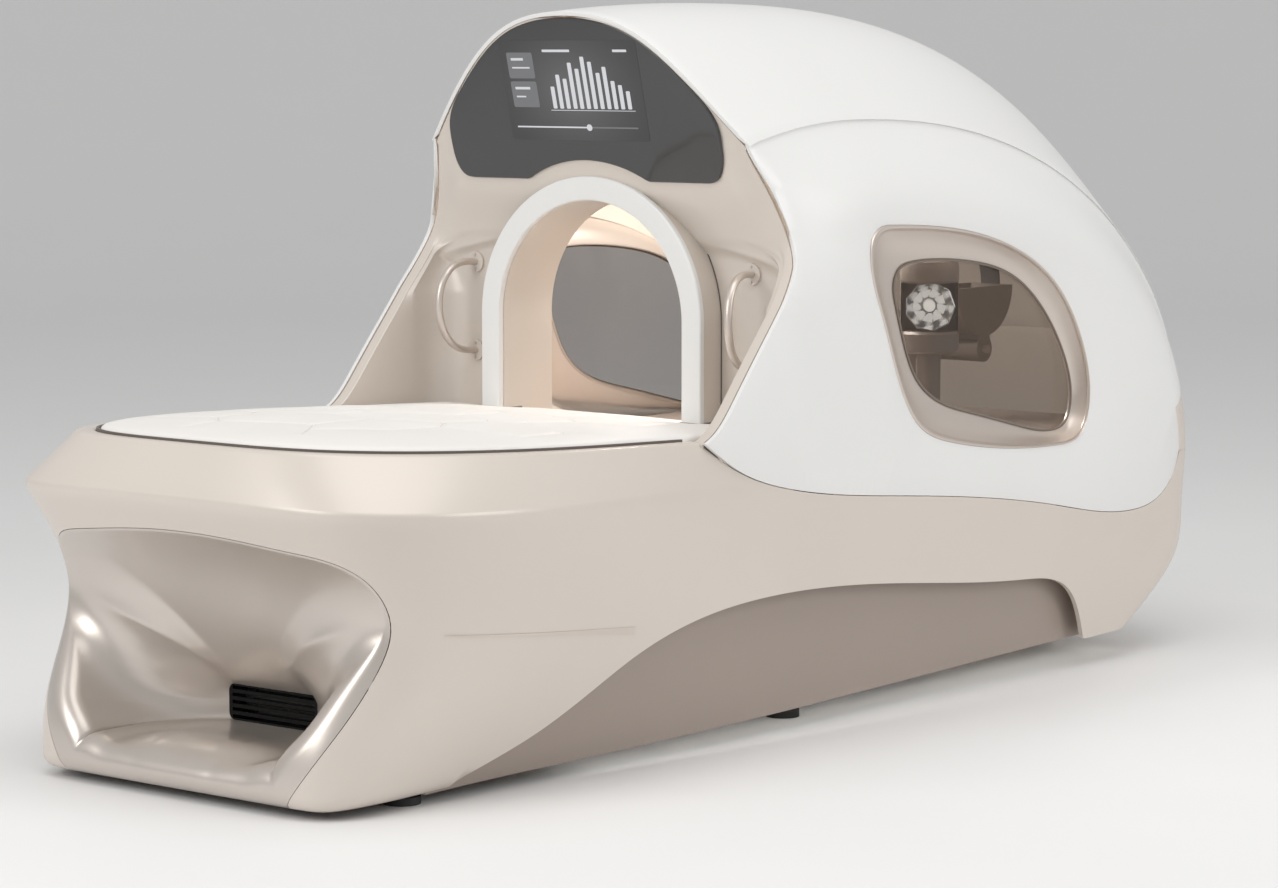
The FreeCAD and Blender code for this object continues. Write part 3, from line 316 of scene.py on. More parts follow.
def wire(tree, *runs):
    # each run: a node and its output, then a node and its input
    for source, output, target, intake in runs:
        tree.links.new(source.outputs[output], target.inputs[intake])


number = "NodeSocketFloat"
grainOut = [("Height", number), ("Tone", number)]


def makeGrainGroup():
    # fine paint or plastic grain with a slow drift of tone
    group, ins, outs = newGroup("fineGrain", [("Grain", number, 400), ("Drift", number, 3)], grainOut)
    place = addNode(group, "ShaderNodeTexCoord")
    fine = addNode(group, "ShaderNodeTexNoise", {"Detail": 3})
    slow = addNode(group, "ShaderNodeTexNoise", {"Detail": 2})
    mix = addNode(group, "ShaderNodeMath", {1: 0.35}, operation="MULTIPLY_ADD")
    wire(group, (place, "Object", fine, "Vector"), (place, "Object", slow, "Vector"),
         (ins, "Grain", fine, "Scale"), (ins, "Drift", slow, "Scale"),
         (fine, "Fac", mix, 0), (slow, "Fac", mix, 2),
         (fine, "Fac", outs, "Height"), (mix, 0, outs, "Tone"))
    return group


def makeLeatherGroup():
    # pebbled cells with fine pores between them
    group, ins, outs = newGroup("pebbleGrain", [("Pebble", number, 260)], grainOut)
    place = addNode(group, "ShaderNodeTexCoord")
    cells = addNode(group, "ShaderNodeTexVoronoi", {"Smoothness": 0.4}, feature="SMOOTH_F1")
    pores = addNode(group, "ShaderNodeTexNoise", {"Scale": 900})
    slow = addNode(group, "ShaderNodeTexNoise", {"Scale": 5})
    mix = addNode(group, "ShaderNodeMath", {1: 0.3}, operation="MULTIPLY_ADD")
    wire(group, *[(place, "Object", node, "Vector") for node in (cells, pores, slow)])
    wire(group, (ins, "Pebble", cells, "Scale"), (pores, "Fac", mix, 0), (cells, "Distance", mix, 2),
         (mix, 0, outs, "Height"), (slow, "Fac", outs, "Tone"))
    return group


def makeWeaveGroup():
    # crossed ribs of a woven strap
    group, ins, outs = newGroup("webbingWeave", [("Ribs", number, 300)], grainOut)
    place = addNode(group, "ShaderNodeTexCoord")
    waves = [addNode(group, "ShaderNodeTexWave", bands_direction=axis) for axis in ("X", "Y")]
    mix = addNode(group, "ShaderNodeMath", operation="MULTIPLY")
    for i, wave in enumerate(waves):
        wire(group, (place, "Object", wave, "Vector"), (ins, "Ribs", wave, "Scale"), (wave, "Fac", mix, i))
    wire(group, (mix, 0, outs, "Height"), (mix, 0, outs, "Tone"))
    return group


grainGroup = makeGrainGroup()
leatherGroup = makeLeatherGroup()
weaveGroup = makeWeaveGroup()


def newSurface(name):
    material = bpy.data.materials.new(name)
    material.use_nodes = True
    return material, material.node_tree, material.node_tree.nodes["Principled BSDF"]


def finish(name, group, color, spread, roughness, bump, groupInputs=(), **sockets):
    # one surface whose tone, roughness and bump come from a shader group
    material, tree, shader = newSurface(name)
    texture = addNode(tree, "ShaderNodeGroup", groupInputs, node_tree=group)
    dark, bright = [tuple(min(c * share, 1) for c in color) + (1,) for share in (1 - spread, 1 + spread)]
    tones = addNode(tree, "ShaderNodeMix", {6: dark, 7: bright}, data_type="RGBA")
    rough = addNode(tree, "ShaderNodeMapRange", {"To Min": roughness[0], "To Max": roughness[1]})
    height = addNode(tree, "ShaderNodeBump", {"Strength": bump[0], "Distance": bump[1]})
    wire(tree, (texture, "Tone", tones, "Factor"), (tones, 2, shader, "Base Color"),
         (texture, "Tone", rough, "Value"), (rough, 0, shader, "Roughness"),
         (texture, "Height", height, "Height"), (height, "Normal", shader, "Normal"))
    setInputs(shader, {label.replace("_", " "): value for label, value in sockets.items()})
    return material


def grained(name, *look, **sockets):
    return finish(name, grainGroup, *look, **sockets)


fine = [("Grain", 700), ("Drift", 2.2)]
coarse = [("Grain", 320), ("Drift", 6)]
beigeLacquer = grained("beigeLacquer", (0.675, 0.612, 0.553), 0.03, (0.34, 0.42), (0.04, 0.0004), fine,
                       Metallic=0.12, Coat_Weight=0.25, Coat_Roughness=0.2)
whiteLacquer = grained("whiteLacquer", (0.80, 0.80, 0.79), 0.015, (0.30, 0.38), (0.03, 0.0004), fine,
                       Coat_Weight=0.2, Coat_Roughness=0.2)
champagneMetal = grained("champagneMetal", (0.66, 0.59, 0.535), 0.03, (0.26, 0.36), (0.05, 0.0004), fine,
                         Metallic=0.6)
scoopMetal = grained("scoopMetal", (0.62, 0.567, 0.52), 0.03, (0.26, 0.36), (0.05, 0.0004), fine,
                     Metallic=0.65, Coat_Weight=0.3, Coat_Roughness=0.12)
taupePanel = grained("taupePanel", (0.36, 0.30, 0.26), 0.03, (0.38, 0.46), (0.05, 0.0004), fine,
                     Metallic=0.1)
padLeather = finish("padLeather", leatherGroup, (0.82, 0.80, 0.775), 0.03, (0.48, 0.6), (0.18, 0.0009))
threadWhite = finish("threadWhite", weaveGroup, (0.72, 0.69, 0.66), 0.1, (0.6, 0.8), (0.2, 0.0003),
                     [("Ribs", 900)])
darkTrim = grained("darkTrim", (0.13, 0.11, 0.097), 0.15, (0.45, 0.6), (0.1, 0.0005), coarse)
displayGlass = grained("displayGlass", (0.045, 0.045, 0.046), 0.05, (0.07, 0.1), (0.0, 0.0002), fine,
                       Coat_Weight=0.4, Coat_Roughness=0.03)
chromeFinish = grained("chromeFinish", (0.86, 0.86, 0.86), 0.02, (0.12, 0.2), (0.02, 0.0003), fine,
                       Metallic=1.0)
cupPlastic = grained("cupPlastic", (0.19, 0.155, 0.13), 0.08, (0.4, 0.5), (0.12, 0.0006), coarse)
strapFabric = finish("strapFabric", weaveGroup, (0.08, 0.07, 0.065), 0.35, (0.75, 0.9), (0.5, 0.0008),
                     [("Ribs", 240)])
chassisPaint = grained("chassisPaint", (0.06, 0.06, 0.06), 0.15, (0.45, 0.6), (0.2, 0.0006), coarse)
groundSteel = grained("groundSteel", (0.55, 0.55, 0.56), 0.06, (0.22, 0.36), (0.08, 0.0004), coarse,
                      Metallic=1.0)
footRubber = grained("footRubber", (0.022, 0.022, 0.022), 0.2, (0.6, 0.75), (0.2, 0.0006), coarse)
deckBoard = grained("deckBoard", (0.45, 0.33, 0.22), 0.2, (0.55, 0.7), (0.2, 0.0006),
                    [("Grain", 120), ("Drift", 14)])
blackPlastic = grained("blackPlastic", (0.03, 0.03, 0.03), 0.2, (0.4, 0.55), (0.2, 0.0006), coarse)
glowStrip = grained("glowStrip", (0.95, 0.95, 0.92), 0.02, (0.4, 0.5), (0.05, 0.0004), fine,
                    Emission_Color=(1, 0.97, 0.92, 1), Emission_Strength=3.0)
windowGlass = grained("windowGlass", (0.06, 0.044, 0.034), 0.04, (0.03, 0.05), (0.0, 0.0002), fine,
                      Alpha=0.36)
bulbGlow = grained("bulbGlow", (0.95, 0.95, 0.92), 0.02, (0.4, 0.5), (0.05, 0.0004), fine,
                   Emission_Color=(1, 0.96, 0.9, 1), Emission_Strength=0.9)
grilleBlack = grained("grilleBlack", (0.006, 0.006, 0.006), 0.2, (0.6, 0.7), (0.1, 0.0005), coarse,
                      Specular_IOR_Level=0.15)


def makeGlowGroup():
    # brighter in the middle of the screen and darker towards its corners
    tint = "NodeSocketColor"
    group, ins, outs = newGroup("softField", [("Bright", tint, (0.11, 0.11, 0.115, 1)),
                                              ("Dark", tint, (0.018, 0.018, 0.019, 1))], [("Color", tint)])
    place = addNode(group, "ShaderNodeTexCoord")
    centre = addNode(group, "ShaderNodeMapping", {"Scale": (3.6, 3.6, 4.6), "Location": (0.99, 0, -5.584)},
                     vector_type="POINT")
    field = addNode(group, "ShaderNodeTexGradient", gradient_type="QUADRATIC_SPHERE")
    mix = addNode(group, "ShaderNodeMix", data_type="RGBA")
    wire(group, (place, "Object", centre, "Vector"), (centre, "Vector", field, "Vector"),
         (field, "Fac", mix, "Factor"), (ins, "Dark", mix, 6), (ins, "Bright", mix, 7),
         (mix, 2, outs, "Color"))
    return group


def litField(name, group, strength):
    material, tree, shader = newSurface(name)
    field = addNode(tree, "ShaderNodeGroup", node_tree=group)
    wire(tree, (field, "Color", shader, "Emission Color"))
    setInputs(shader, {"Base Color": (0.02, 0.02, 0.02, 1), "Emission Strength": strength, "Roughness": 0.12})
    return material


screenField = litField("screenField", makeGlowGroup(), 1.0)
markDim = grained("markDim", (0.04, 0.04, 0.042), 0.05, (0.12, 0.16), (0.0, 0.0002), fine,
                  Emission_Color=(0.9, 0.92, 0.95, 1), Emission_Strength=0.14)
markBright = grained("markBright", (0.05, 0.05, 0.05), 0.05, (0.12, 0.16), (0.0, 0.0002), fine,
                     Emission_Color=(0.95, 0.96, 1.0, 1), Emission_Strength=0.62)

slotFinish = {
    "beige_shell": beigeLacquer, "white_shell": whiteLacquer, "champagne_metal": champagneMetal,
    "taupe_panel": taupePanel, "mattress_leather": padLeather, "dark_trim": darkTrim,
    "display_glass": displayGlass, "window_glass": windowGlass, "chrome_reflector": chromeFinish,
    "cup_plastic": cupPlastic, "strap_fabric": strapFabric, "chassis_paint": chassisPaint,
    "steel": groundSteel, "foot_rubber": footRubber, "deck_board": deckBoard,
    "black_plastic": blackPlastic, "light_strip": glowStrip,
}
print("finishes made,", len(slotFinish))

# Hood lines: the side and crest lines from the front plane over the apex to the tail

hood = {
    "half": 0.488, "skin": 0.008, "apex": 0.095, "centre": 0.430, "shoulder": 0.400, "lean": math.radians(21),
    "ledge": 0.0048, "ledgeFade": (0.62, 0.24),
    "crest": {"front": 1.365, "top": 1.385, "tail": 1.380, "power": 2.5},
    "side": {"front": 0.905, "top": 0.972, "tail": 1.171, "power": 2.0},
    "share": (0.45, 0.74), "frontX": -0.322, "frontSlope": 0.25, "split": 80 / 90,
    "leanPoles": (0.45, 0.3), "crownPoles": (0.72, 0.40, 0.42), "leanSteps": 15, "crownSteps": 29,
    "seamGap": 0.0016, "rimRound": 0.0015, "frontStations": 14, "rearStations": 44, "coverStations": 10,
    "tip": (-0.493, 0.578), "seam": ((-0.3898, 0.5192), (-0.236, 0.473), (0.124, 0.4273), (0.685, 0.3561),
                                     (0.985, 0.318), (1.101, 0.342), (1.159, 0.398), (1.171, 0.430)),
    # front edge: height and X, then height and half width where the side is drawn in
    "edge": ((0.620, -0.427), (0.725, -0.337), (0.823, -0.252), (0.860, -0.223), (0.892, -0.203),
             (0.923, -0.194), (0.960, -0.1945), (1.020, -0.210), (1.071, -0.231), (1.129, -0.254),
             (1.250, -0.2925), (1.365, -0.322)),
    "drawnIn": ((0.823, 0.4875), (0.860, 0.4825), (0.892, 0.476), (0.923, 0.464), (0.955, 0.451),
                (1.020, 0.428), (1.071, 0.410), (1.129, 0.3885)),
    "drawnEnds": (0.780, 1.240), "drawnBack": 0.020, "edgeEnd": ((-0.436, 0.6125), (-0.462, 0.5925)),
    "flatCuts": (0.80, 0.83, 0.86, 0.885), "rakeLow": 0.64, "rakeSteps": 30, "rakeEndSteps": 16,
    "seamSteps": 160, "ledgeGather": 1.5, "merge": 1e-4,
}


def frontPlane(z):
    return hood["frontX"] + hood["frontSlope"] * (hood["crest"]["front"] - z)


def frontEdge(z):
    # X of the hood's front edge: a straight rake, a soft corner and the tilted rim above it
    heights, xs = np.array(hood["edge"]).T
    return splineThrough(xs, heights, np.clip(np.atleast_1d(z), heights[0], heights[-1]))


def rakedLine():
    levels = np.linspace(hood["side"]["front"], hood["rakeLow"], hood["rakeSteps"])
    points = list(zip(frontEdge(levels), levels))
    end = points[-2:] + list(hood["edgeEnd"]) + [hood["tip"]]
    return np.vstack([points[:-2], openSpline(end, hood["rakeEndSteps"])])


def hoodLine(line, travel):
    data = hood[line]
    if travel < 0:
        start = frontPlane(data["front"])
        x = hood["apex"] + (hood["apex"] - start) * travel
        return np.array([x, 0, data["top"] - (data["top"] - data["front"]) * travel * travel])
    angle = math.radians(min(90 * travel, 89.999))
    bend = 2 / data["power"]
    return np.array([hood["apex"] + (data["tail"] - hood["apex"]) * math.sin(angle) ** bend, 0,
                     hood["centre"] + (data["top"] - hood["centre"]) * math.cos(angle) ** bend])


def hoodHalfSection(travel, inset=0.0):
    # points from the side line over the shoulder to the crest, on the plus Y side
    side, crest = hoodLine("side", travel), hoodLine("crest", travel)
    share = blendTo(*hood["share"], max(travel, 0) ** 4)
    crease = side + (crest - side) * share
    up = unit(crest - side)
    out = np.array([0, 1.0, 0])
    leanSin, leanCos = math.sin(hood["lean"]), math.cos(hood["lean"])
    leanRun = np.linalg.norm(crease - side)
    leanOut = up * leanCos - out * leanSin
    start = side + out * (hood["half"] - inset)
    knee = crease + out * (hood["shoulder"] - inset * leanCos) - up * (inset * leanSin)
    peak = crest - up * inset
    rise, draw, level = hood["crownPoles"]
    crownOut = up * (rise * np.linalg.norm(crest - crease)) - out * (draw * hood["shoulder"])
    first, last = hood["leanPoles"]
    poles = [start, start + up * (first * leanRun), knee - leanOut * (last * leanRun), knee]
    lean = bezier(poles, hood["leanSteps"])
    crown = bezier([knee, knee + crownOut, peak + out * (level * hood["shoulder"]), peak], hood["crownSteps"])
    begin, span = hood["ledgeFade"]
    ledge = hood["ledge"] * (1 - smoothStep((travel - begin) / span))
    lean -= out * (ledge * np.linspace(0, 1, hood["leanSteps"])[:, None] ** hood["ledgeGather"])
    return np.vstack([lean, crown])


def frontSection():
    # heights and half widths of the plain front section, sorted by height
    section = hoodHalfSection(-1.0)
    order = np.argsort(section[:, 2], kind="stable")
    return section[order, 2], section[order, 1]


def drawnInTable():
    heights, widths = np.array(hood["drawnIn"]).T
    plain = np.interp(heights, *frontSection())
    low, high = hood["drawnEnds"]
    return np.concatenate([[low], heights, [high]]), np.concatenate([[0], plain - widths, [0]])


drawnHeights, drawnDepths = drawnInTable()


def drawnIn(x, z):
    # how far the side is drawn in beside the front edge
    x, z = np.atleast_1d(x), np.atleast_1d(z)
    depth = splineThrough(drawnDepths, drawnHeights, np.clip(z, drawnHeights[0], drawnHeights[-1]))
    edge = frontEdge(z)
    return np.maximum(depth, 0) * smoothStep((hood["drawnBack"] - x) / (hood["drawnBack"] - edge))


def hoodSection(travel):
    half = hoodHalfSection(travel)
    return np.vstack([half, mirrored(half[-2::-1])])


seamLine = openSpline([hood["tip"]] + list(hood["seam"]), hood["seamSteps"])
swooshLine = {"front": -1.075, "rear": 0.822, "top": 0.276, "end": 0.040, "steps": 200,
              "shape": ((0.09, 0.37), (0.2, 0.76), (0.38, 1), (0.6, 0.95), (0.86, 0.78), (0.96, 0.62))}


def swooshEdge():
    front, rear, top = swooshLine["front"], swooshLine["rear"], swooshLine["top"]
    points = [(front, swooshLine["end"])]
    points += [(front + along * (rear - front), level * top) for along, level in swooshLine["shape"]]
    points.append((rear, swooshLine["end"]))
    return openSpline(points, swooshLine["steps"])


# Base surface: five plan outlines from the floor to the rim

base = {
    "length": 2.760, "noseSamples": 240, "flankSamples": 120, "rimPower": 3.8,
    "taper": (0.300, 1.100), "rim": (0.620, 0.043), "wall": 0.010, "column": 0.018,
    # nose inset, half width in front and behind, tail inset, height in front and behind, nose power
    "levels": ((0.008, 0.395, 0.476, 0.225, 0.014, 0.072, 14),
               (0.020, 0.445, 0.484, 0.075, 0.130, 0.165, 8.5),
               (0.080, 0.518, 0.488, 0.014, 0.330, 0.290, 5.5),
               (0.000, 0.562, 0.488, 0.000, 0.522, 0.430, 5.5)),
    "levelRise": (0, 0.116, 0.316, 0.508), "tableRows": 121, "noseColumns": 61, "noseRings": 16,
    "noseShare": 0.52, "edgeRound": 0.006, "probeRows": 81, "tipSamples": 300, "tipGap": 0.002,
    "holeMiddle": 0.45, "holeStretch": 1.9, "merge": 2e-4,
    "rimLevel": (0.040, 0.522, 0.468, 0.040), "flange": 0.030, "flangeDrop": 0.016,
    "lowRows": 38, "lowGather": 1.5, "ridgeRound": 0.012, "rimRound": 0.007,
    # height and depth of the tuck under the nose, and where along the side it fades
    "tuck": (0.028, 0.026), "tuckFade": (0.85, 0.25),
}
reach = base["length"] / 2


def rimHeight(x):
    return base["rim"][0] - base["rim"][1] * (x + reach)


def planOutline(noseInset, halfFront, halfRear, tailInset, power):
    # half outline from the middle of the nose along the plus Y side to the middle of the tail
    turn = np.linspace(0, math.pi / 2, base["noseSamples"])
    size = (np.cos(turn) ** power + np.sin(turn) ** power) ** (1 / power)
    x = -np.cos(turn) / size * (reach - noseInset)
    low, high = base["taper"]
    half = blendTo(halfRear, halfFront, smoothStep((-x - low) / (high - low)))
    nose = np.column_stack([x, half * np.sin(turn) / size])
    tail = np.delete(hoodHalfSection(1.0), hood["leanSteps"], axis=0)
    tail = np.column_stack([tail[:, 0] - tailInset, tail[:, 1] * halfRear / hood["half"]])
    flankX = np.linspace(0, tail[0, 0], base["flankSamples"])[1:-1]
    flank = np.column_stack([flankX, np.full(len(flankX), halfRear)])
    return np.vstack([nose, flank, tail])


def levelPoints(level):
    noseInset, halfFront, halfRear, tailInset, low, high, power = level
    plan = planOutline(noseInset, halfFront, halfRear, tailInset, power)
    return np.column_stack([plan, blendTo(low, high, (plan[:, 0] + reach) / base["length"])])


def rimPoints(inset=0.0):
    noseInset, halfFront, halfRear, tailInset = base["rimLevel"]
    plan = planOutline(noseInset + inset, halfFront - inset, halfRear - inset, tailInset + inset,
                       base["rimPower"])
    return np.column_stack([plan, rimHeight(plan[:, 0])])


def baseTable():
    # lower surface from the floor edge to the ridge: rows by samples by XYZ
    levels = np.array([levelPoints(level) for level in base["levels"]])
    knots = np.array(base["levelRise"]) / base["levelRise"][-1]
    return splineThrough(levels, knots, np.linspace(0, 1, base["tableRows"]))


def tuckUnder(grid):
    # rounds the lower edge of the nose
    high, deep = base["tuck"]
    for row in grid:
        rise = row[:, 2] - grid[0, :, 2]
        share = np.clip(1 - rise / high, 0, 1)
        along = unit(np.gradient(row[:, :2], axis=0))
        inward = np.column_stack([along[:, 1], -along[:, 0]])
        fade = smoothStep((-row[:, 0] - base["tuckFade"][0]) / base["tuckFade"][1])
        row[:, :2] += inward * (deep * (1 - np.sqrt(1 - share ** 2)) * fade)[:, None]
    return grid


table = tuckUnder(baseTable())
ridge = table[-1]
rim = rimPoints()
flangeEdge = rimPoints(base["flange"])
ridgeWalk = walkAlong(ridge)
# height share where the lower surface ends and the rounding of the ridge begins
ridgeShare = 1 - base["ridgeRound"] / base["levelRise"][-1] * 2


def sampleTable(grid, k, v):
    # point of a table at sample number k and height share v
    rows, columns = grid.shape[:2]
    r, c = min(max(v, 0), 1) * (rows - 1), min(max(k, 0), columns - 1)
    r0, c0 = min(int(r), rows - 2), min(int(c), columns - 2)
    a, b = r - r0, c - c0
    return ((grid[r0, c0] * (1 - b) + grid[r0, c0 + 1] * b) * (1 - a)
            + (grid[r0 + 1, c0] * (1 - b) + grid[r0 + 1, c0 + 1] * b) * a)


def sampleLine(line, k):
    c = min(max(k, 0), len(line) - 1)
    c0 = min(int(c), len(line) - 2)
    return line[c0] * (1 - (c - c0)) + line[c0 + 1] * (c - c0)


def crossing(points, line):
    # share along a column where it rises over a side-view line, or None
    height = np.interp(points[:, 0], line[:, 0], line[:, 1], left=np.nan, right=np.nan)
    gap = points[:, 2] - height
    for i in range(len(gap) - 1):
        if gap[i] < 0 <= gap[i + 1]:
            return (i + gap[i] / (gap[i] - gap[i + 1])) / (len(gap) - 1)
    return None


# Scoop: a panel that fills the nose below its seam and dishes in to the slot

scoop = {
    # half of the seam, from the middle of the nose to the floor edge: sample number and height share
    "seam": ((0, 0.893), (12, 0.892), (40, 0.880), (68, 0.858), (94, 0.785), (101, 0.688), (104, 0.596),
             (105, 0.450), (103, 0.254), (91, 0.0)),
    "counts": (48, 26, 26), "lipStart": 0.28, "slotHalf": 0.110, "slotLow": 0.094, "slotHigh": 0.160,
    "slotRound": 0.014, "slotX": -1.1186, "rows": (9, 14, 34), "gap": 0.0012, "wall": 0.004,
    "seamScale": 110, "seamSteps": 400, "floorSteps": 60, "spotStart": 40.0, "spotTries": 20,
    "topFade": (0.15, 0.21), "lowReach": 0.75, "even": 11, "cornerFlush": 0.022, "cornerReach": 16,
    # above, at the sides and below: flush strip, radius and turn of the lip, way in at the slot
    "flush": (0.002, 0.020, 0.006), "lip": (0.012, 0.042, 0.028), "lipTurn": (24, 84, 96),
    "wayIn": ((0.78, 0, -0.62), (0.60, -0.80, 0), (0.97, 0, 0.24)), "pull": (0.40, 0.40),
}


def noseSpot(y, z):
    # sample number and height share of the base surface in front, at a given Y and Z
    k, shares = scoop["spotStart"], np.linspace(0, 1, len(table))
    for step in range(scoop["spotTries"]):
        first = min(int(k), base["noseSamples"] - 2)
        column = blendTo(table[:, first], table[:, first + 1], k - first)
        v = np.interp(z, column[:, 2], shares)
        row = min(int(v * (len(table) - 1)), len(table) - 2)
        line = blendTo(table[row], table[row + 1], v * (len(table) - 1) - row)[:base["noseSamples"]]
        newK = np.interp(abs(y), line[:, 1], np.arange(len(line)))
        if abs(newK - k) < 1e-5:
            break
        k = newK
    return k, v


def surfacePoint(signedK, v):
    point = sampleTable(table, abs(signedK), v)
    return point * np.array([1, 1 if signedK >= 0 else -1, 1])


def evenLine(line, count):
    # points of a sample-and-height line, evenly spaced on the base surface
    points = np.array([surfacePoint(k, v) for k, v in line])
    walk = walkAlong(points)
    return pickAlong(line, walk, np.linspace(0, walk[-1], count))


def seamHalf():
    scale = np.array([scoop["seamScale"], 1])
    dense = openSpline(np.array(scoop["seam"]) / scale, scoop["seamSteps"]) * scale
    dense[:, 1] = np.maximum(dense[:, 1], 0)
    heights = np.array([surfacePoint(k, v)[2] for k, v in dense])
    turn = np.nonzero(heights < scoop["lipStart"])[0][0]
    top, side, low = scoop["counts"]
    count = scoop["floorSteps"]
    floorLine = np.column_stack([np.linspace(dense[-1, 0], 0, count), np.zeros(count)])
    return np.vstack([evenLine(dense[:turn + 1], top), evenLine(dense[turn:], side)[1:],
                      evenLine(floorLine, low)[1:]])


def slotHalf():
    # half of the slot's outline in Y and Z, its corners shared by the neighbouring runs
    half, low, high, bend = scoop["slotHalf"], scoop["slotLow"], scoop["slotHigh"], scoop["slotRound"]
    corner = [(half - bend + math.sin(a) * bend, high - bend + math.cos(a) * bend)
              for a in np.linspace(0, math.pi / 2, 9)]
    upper, turnUp = [(0, high)] + corner[:5], corner[4:]
    lower = [(y, low + high - z) for y, z in upper[::-1]]
    turnLow = [(y, low + high - z) for y, z in turnUp[::-1]]
    runs = [np.array(upper), np.array(turnUp + turnLow), np.array(lower)]
    points = []
    for run, count in zip(runs, scoop["counts"]):
        walk = walkAlong(run)
        line = pickAlong(run, walk, np.linspace(0, walk[-1], count))
        points.append(line if not points else line[1:])
    return np.vstack(points)


def bothSides(half, mirror):
    return np.vstack([half, (half * mirror)[-2:0:-1]])


seamSpots = seamHalf()
slotSpots = slotHalf()
mouth = bothSides(seamSpots, np.array([-1, 1]))
print("scoop seam found,", len(mouth), "points")


# Base body

def columnProfile(k, lowV):
    # one column of the base from its lower edge to the flange's inner edge
    rows = base["lowRows"]
    ridgeAt, rimAt, edgeAt = sampleLine(ridge, k), sampleLine(rim, k), sampleLine(flangeEdge, k)
    chamfer = np.linalg.norm(rimAt - ridgeAt)
    shares = np.linspace(0, 1, rows) ** base["lowGather"]
    low = [sampleTable(table, k, blendTo(lowV, ridgeShare, share)) for share in shares]
    above = ridgeAt + (rimAt - ridgeAt) * (base["ridgeRound"] / chamfer)
    ridgeBend = bezier([low[-1], ridgeAt, above], 6)[1:]
    rimLow = rimAt - (rimAt - ridgeAt) * (base["rimRound"] / chamfer)
    inward = unit(edgeAt - rimAt)
    rimBend = bezier([rimLow, rimAt, rimAt + inward * base["rimRound"]], 6)
    bend = base["edgeRound"]
    edge = bezier([edgeAt - inward * bend, edgeAt, edgeAt - np.array([0, 0, bend])], 4)
    foot = edgeAt - np.array([0, 0, base["flangeDrop"]])
    middle = [blendTo(above, rimLow, 0.5)]
    return np.vstack([low, ridgeBend, middle, rimBend, edge, [foot]])


def clipAtSeam(profile):
    # behind the tip the column ends where it meets the hood's seam
    gap = profile[:, 2] - np.interp(profile[:, 0], seamLine[:, 0], seamLine[:, 1])
    over = np.nonzero(gap > 0)[0]
    if not len(over) or over[0] == 0:
        return profile
    i = over[0]
    walk = walkAlong(profile)
    end = blendTo(walk[i - 1], walk[i], gap[i - 1] / (gap[i - 1] - gap[i]))
    return pickAlong(profile, walk, np.minimum(walk, end))


def makeBaseBody():
    swoosh = swooshEdge()
    total = ridgeWalk[-1]
    steps = int(total / base["column"])
    ks = list(np.interp(np.linspace(0, total, steps), ridgeWalk, np.arange(len(ridgeWalk))))
    tipK = np.interp(hood["tip"][0], rim[:base["tipSamples"], 0], np.arange(base["tipSamples"]))
    ks = sorted(ks + [tipK - base["tipGap"], tipK + base["tipGap"]])
    sideK = base["noseSamples"] * base["noseShare"]
    ks = [sideK] + [k for k in ks if k > sideK + 0.5]
    columns = []
    fullV = np.linspace(0, 1, base["probeRows"])
    for k in ks:
        column = np.array([sampleTable(table, k, v) for v in fullV])
        lowV = crossing(column, swoosh) or 0.0
        if column[0, 2] > np.interp(column[0, 0], swoosh[:, 0], swoosh[:, 1], left=0, right=0):
            lowV = 0.0
        profile = columnProfile(k, lowV)
        columns.append(clipAtSeam(profile) if k > tipK else profile)
    verts, faces = gridPair(np.array(columns))
    # the nose: chamfer and flange across the middle, and a ring patch round the scoop below the ridge
    numbers = np.arange(len(ridgeWalk))
    sideWalk = np.interp(sideK, numbers, ridgeWalk)
    noseKs = np.interp(np.linspace(-1, 1, base["noseColumns"]) * sideWalk,
                       np.concatenate([-ridgeWalk[::-1], ridgeWalk[1:]]),
                       np.concatenate([-numbers[::-1], numbers[1:]]))
    top = []
    for k in noseKs:
        profile = columnProfile(abs(k), 0.0)[base["lowRows"] - 1:]
        top.append(profile * np.array([1, 1 if k >= 0 else -1, 1]))
    offset = len(verts)
    verts += list(np.array(top).reshape(-1, 3))
    faces += gridFaces(len(top), len(top[0]), offset=offset)
    outline = [(k, ridgeShare) for k in noseKs]
    gathered = ridgeShare * np.linspace(0, 1, base["lowRows"]) ** base["lowGather"]
    outline += [(sideK, v) for v in gathered[::-1][1:]]
    outline += [(k, 0) for k in noseKs[::-1][1:]]
    outline += [(-sideK, v) for v in gathered[1:-1]]
    outline = np.array(outline)
    hole = matchRing(outline, mouth[:, :2])
    rings = base["noseRings"]
    offset = len(verts)
    for t in np.linspace(0, 1, rings):
        for (k, v), (holeK, holeV) in zip(outline, hole):
            verts.append(surfacePoint(blendTo(k, holeK, t), blendTo(v, holeV, t)))
    faces += gridFaces(rings, len(outline), loop=True, offset=offset)
    piece = buildPiece("baseBody", verts, faces, base["merge"])
    return dressSheet(piece, lambda c: (c.x * 0.2, c.y * 3, c.z - 0.3), base["wall"], beigeLacquer,
                      ["base_shell"], 50)


def matchRing(outline, hole):
    # a point of the hole for each outline point, by the same bearing from the hole's middle
    scale, middle = 1 / base["noseSamples"] * base["holeStretch"], base["holeMiddle"]
    bearing = np.unwrap(np.arctan2(hole[:, 1] - middle, hole[:, 0] * scale))
    order = np.argsort(bearing % (2 * math.pi))
    angles = (bearing % (2 * math.pi))[order]
    angles = np.concatenate([angles - 2 * math.pi, angles, angles + 2 * math.pi])
    points = np.tile(hole[order], (3, 1))
    want = np.arctan2(outline[:, 1] - middle, outline[:, 0] * scale) % (2 * math.pi)
    return pickAlong(points, angles, want)


makeBaseBody()
print("base body made")


# Scoop panel: flush at the seam, rolled lips at the sides and below, a smooth sweep above

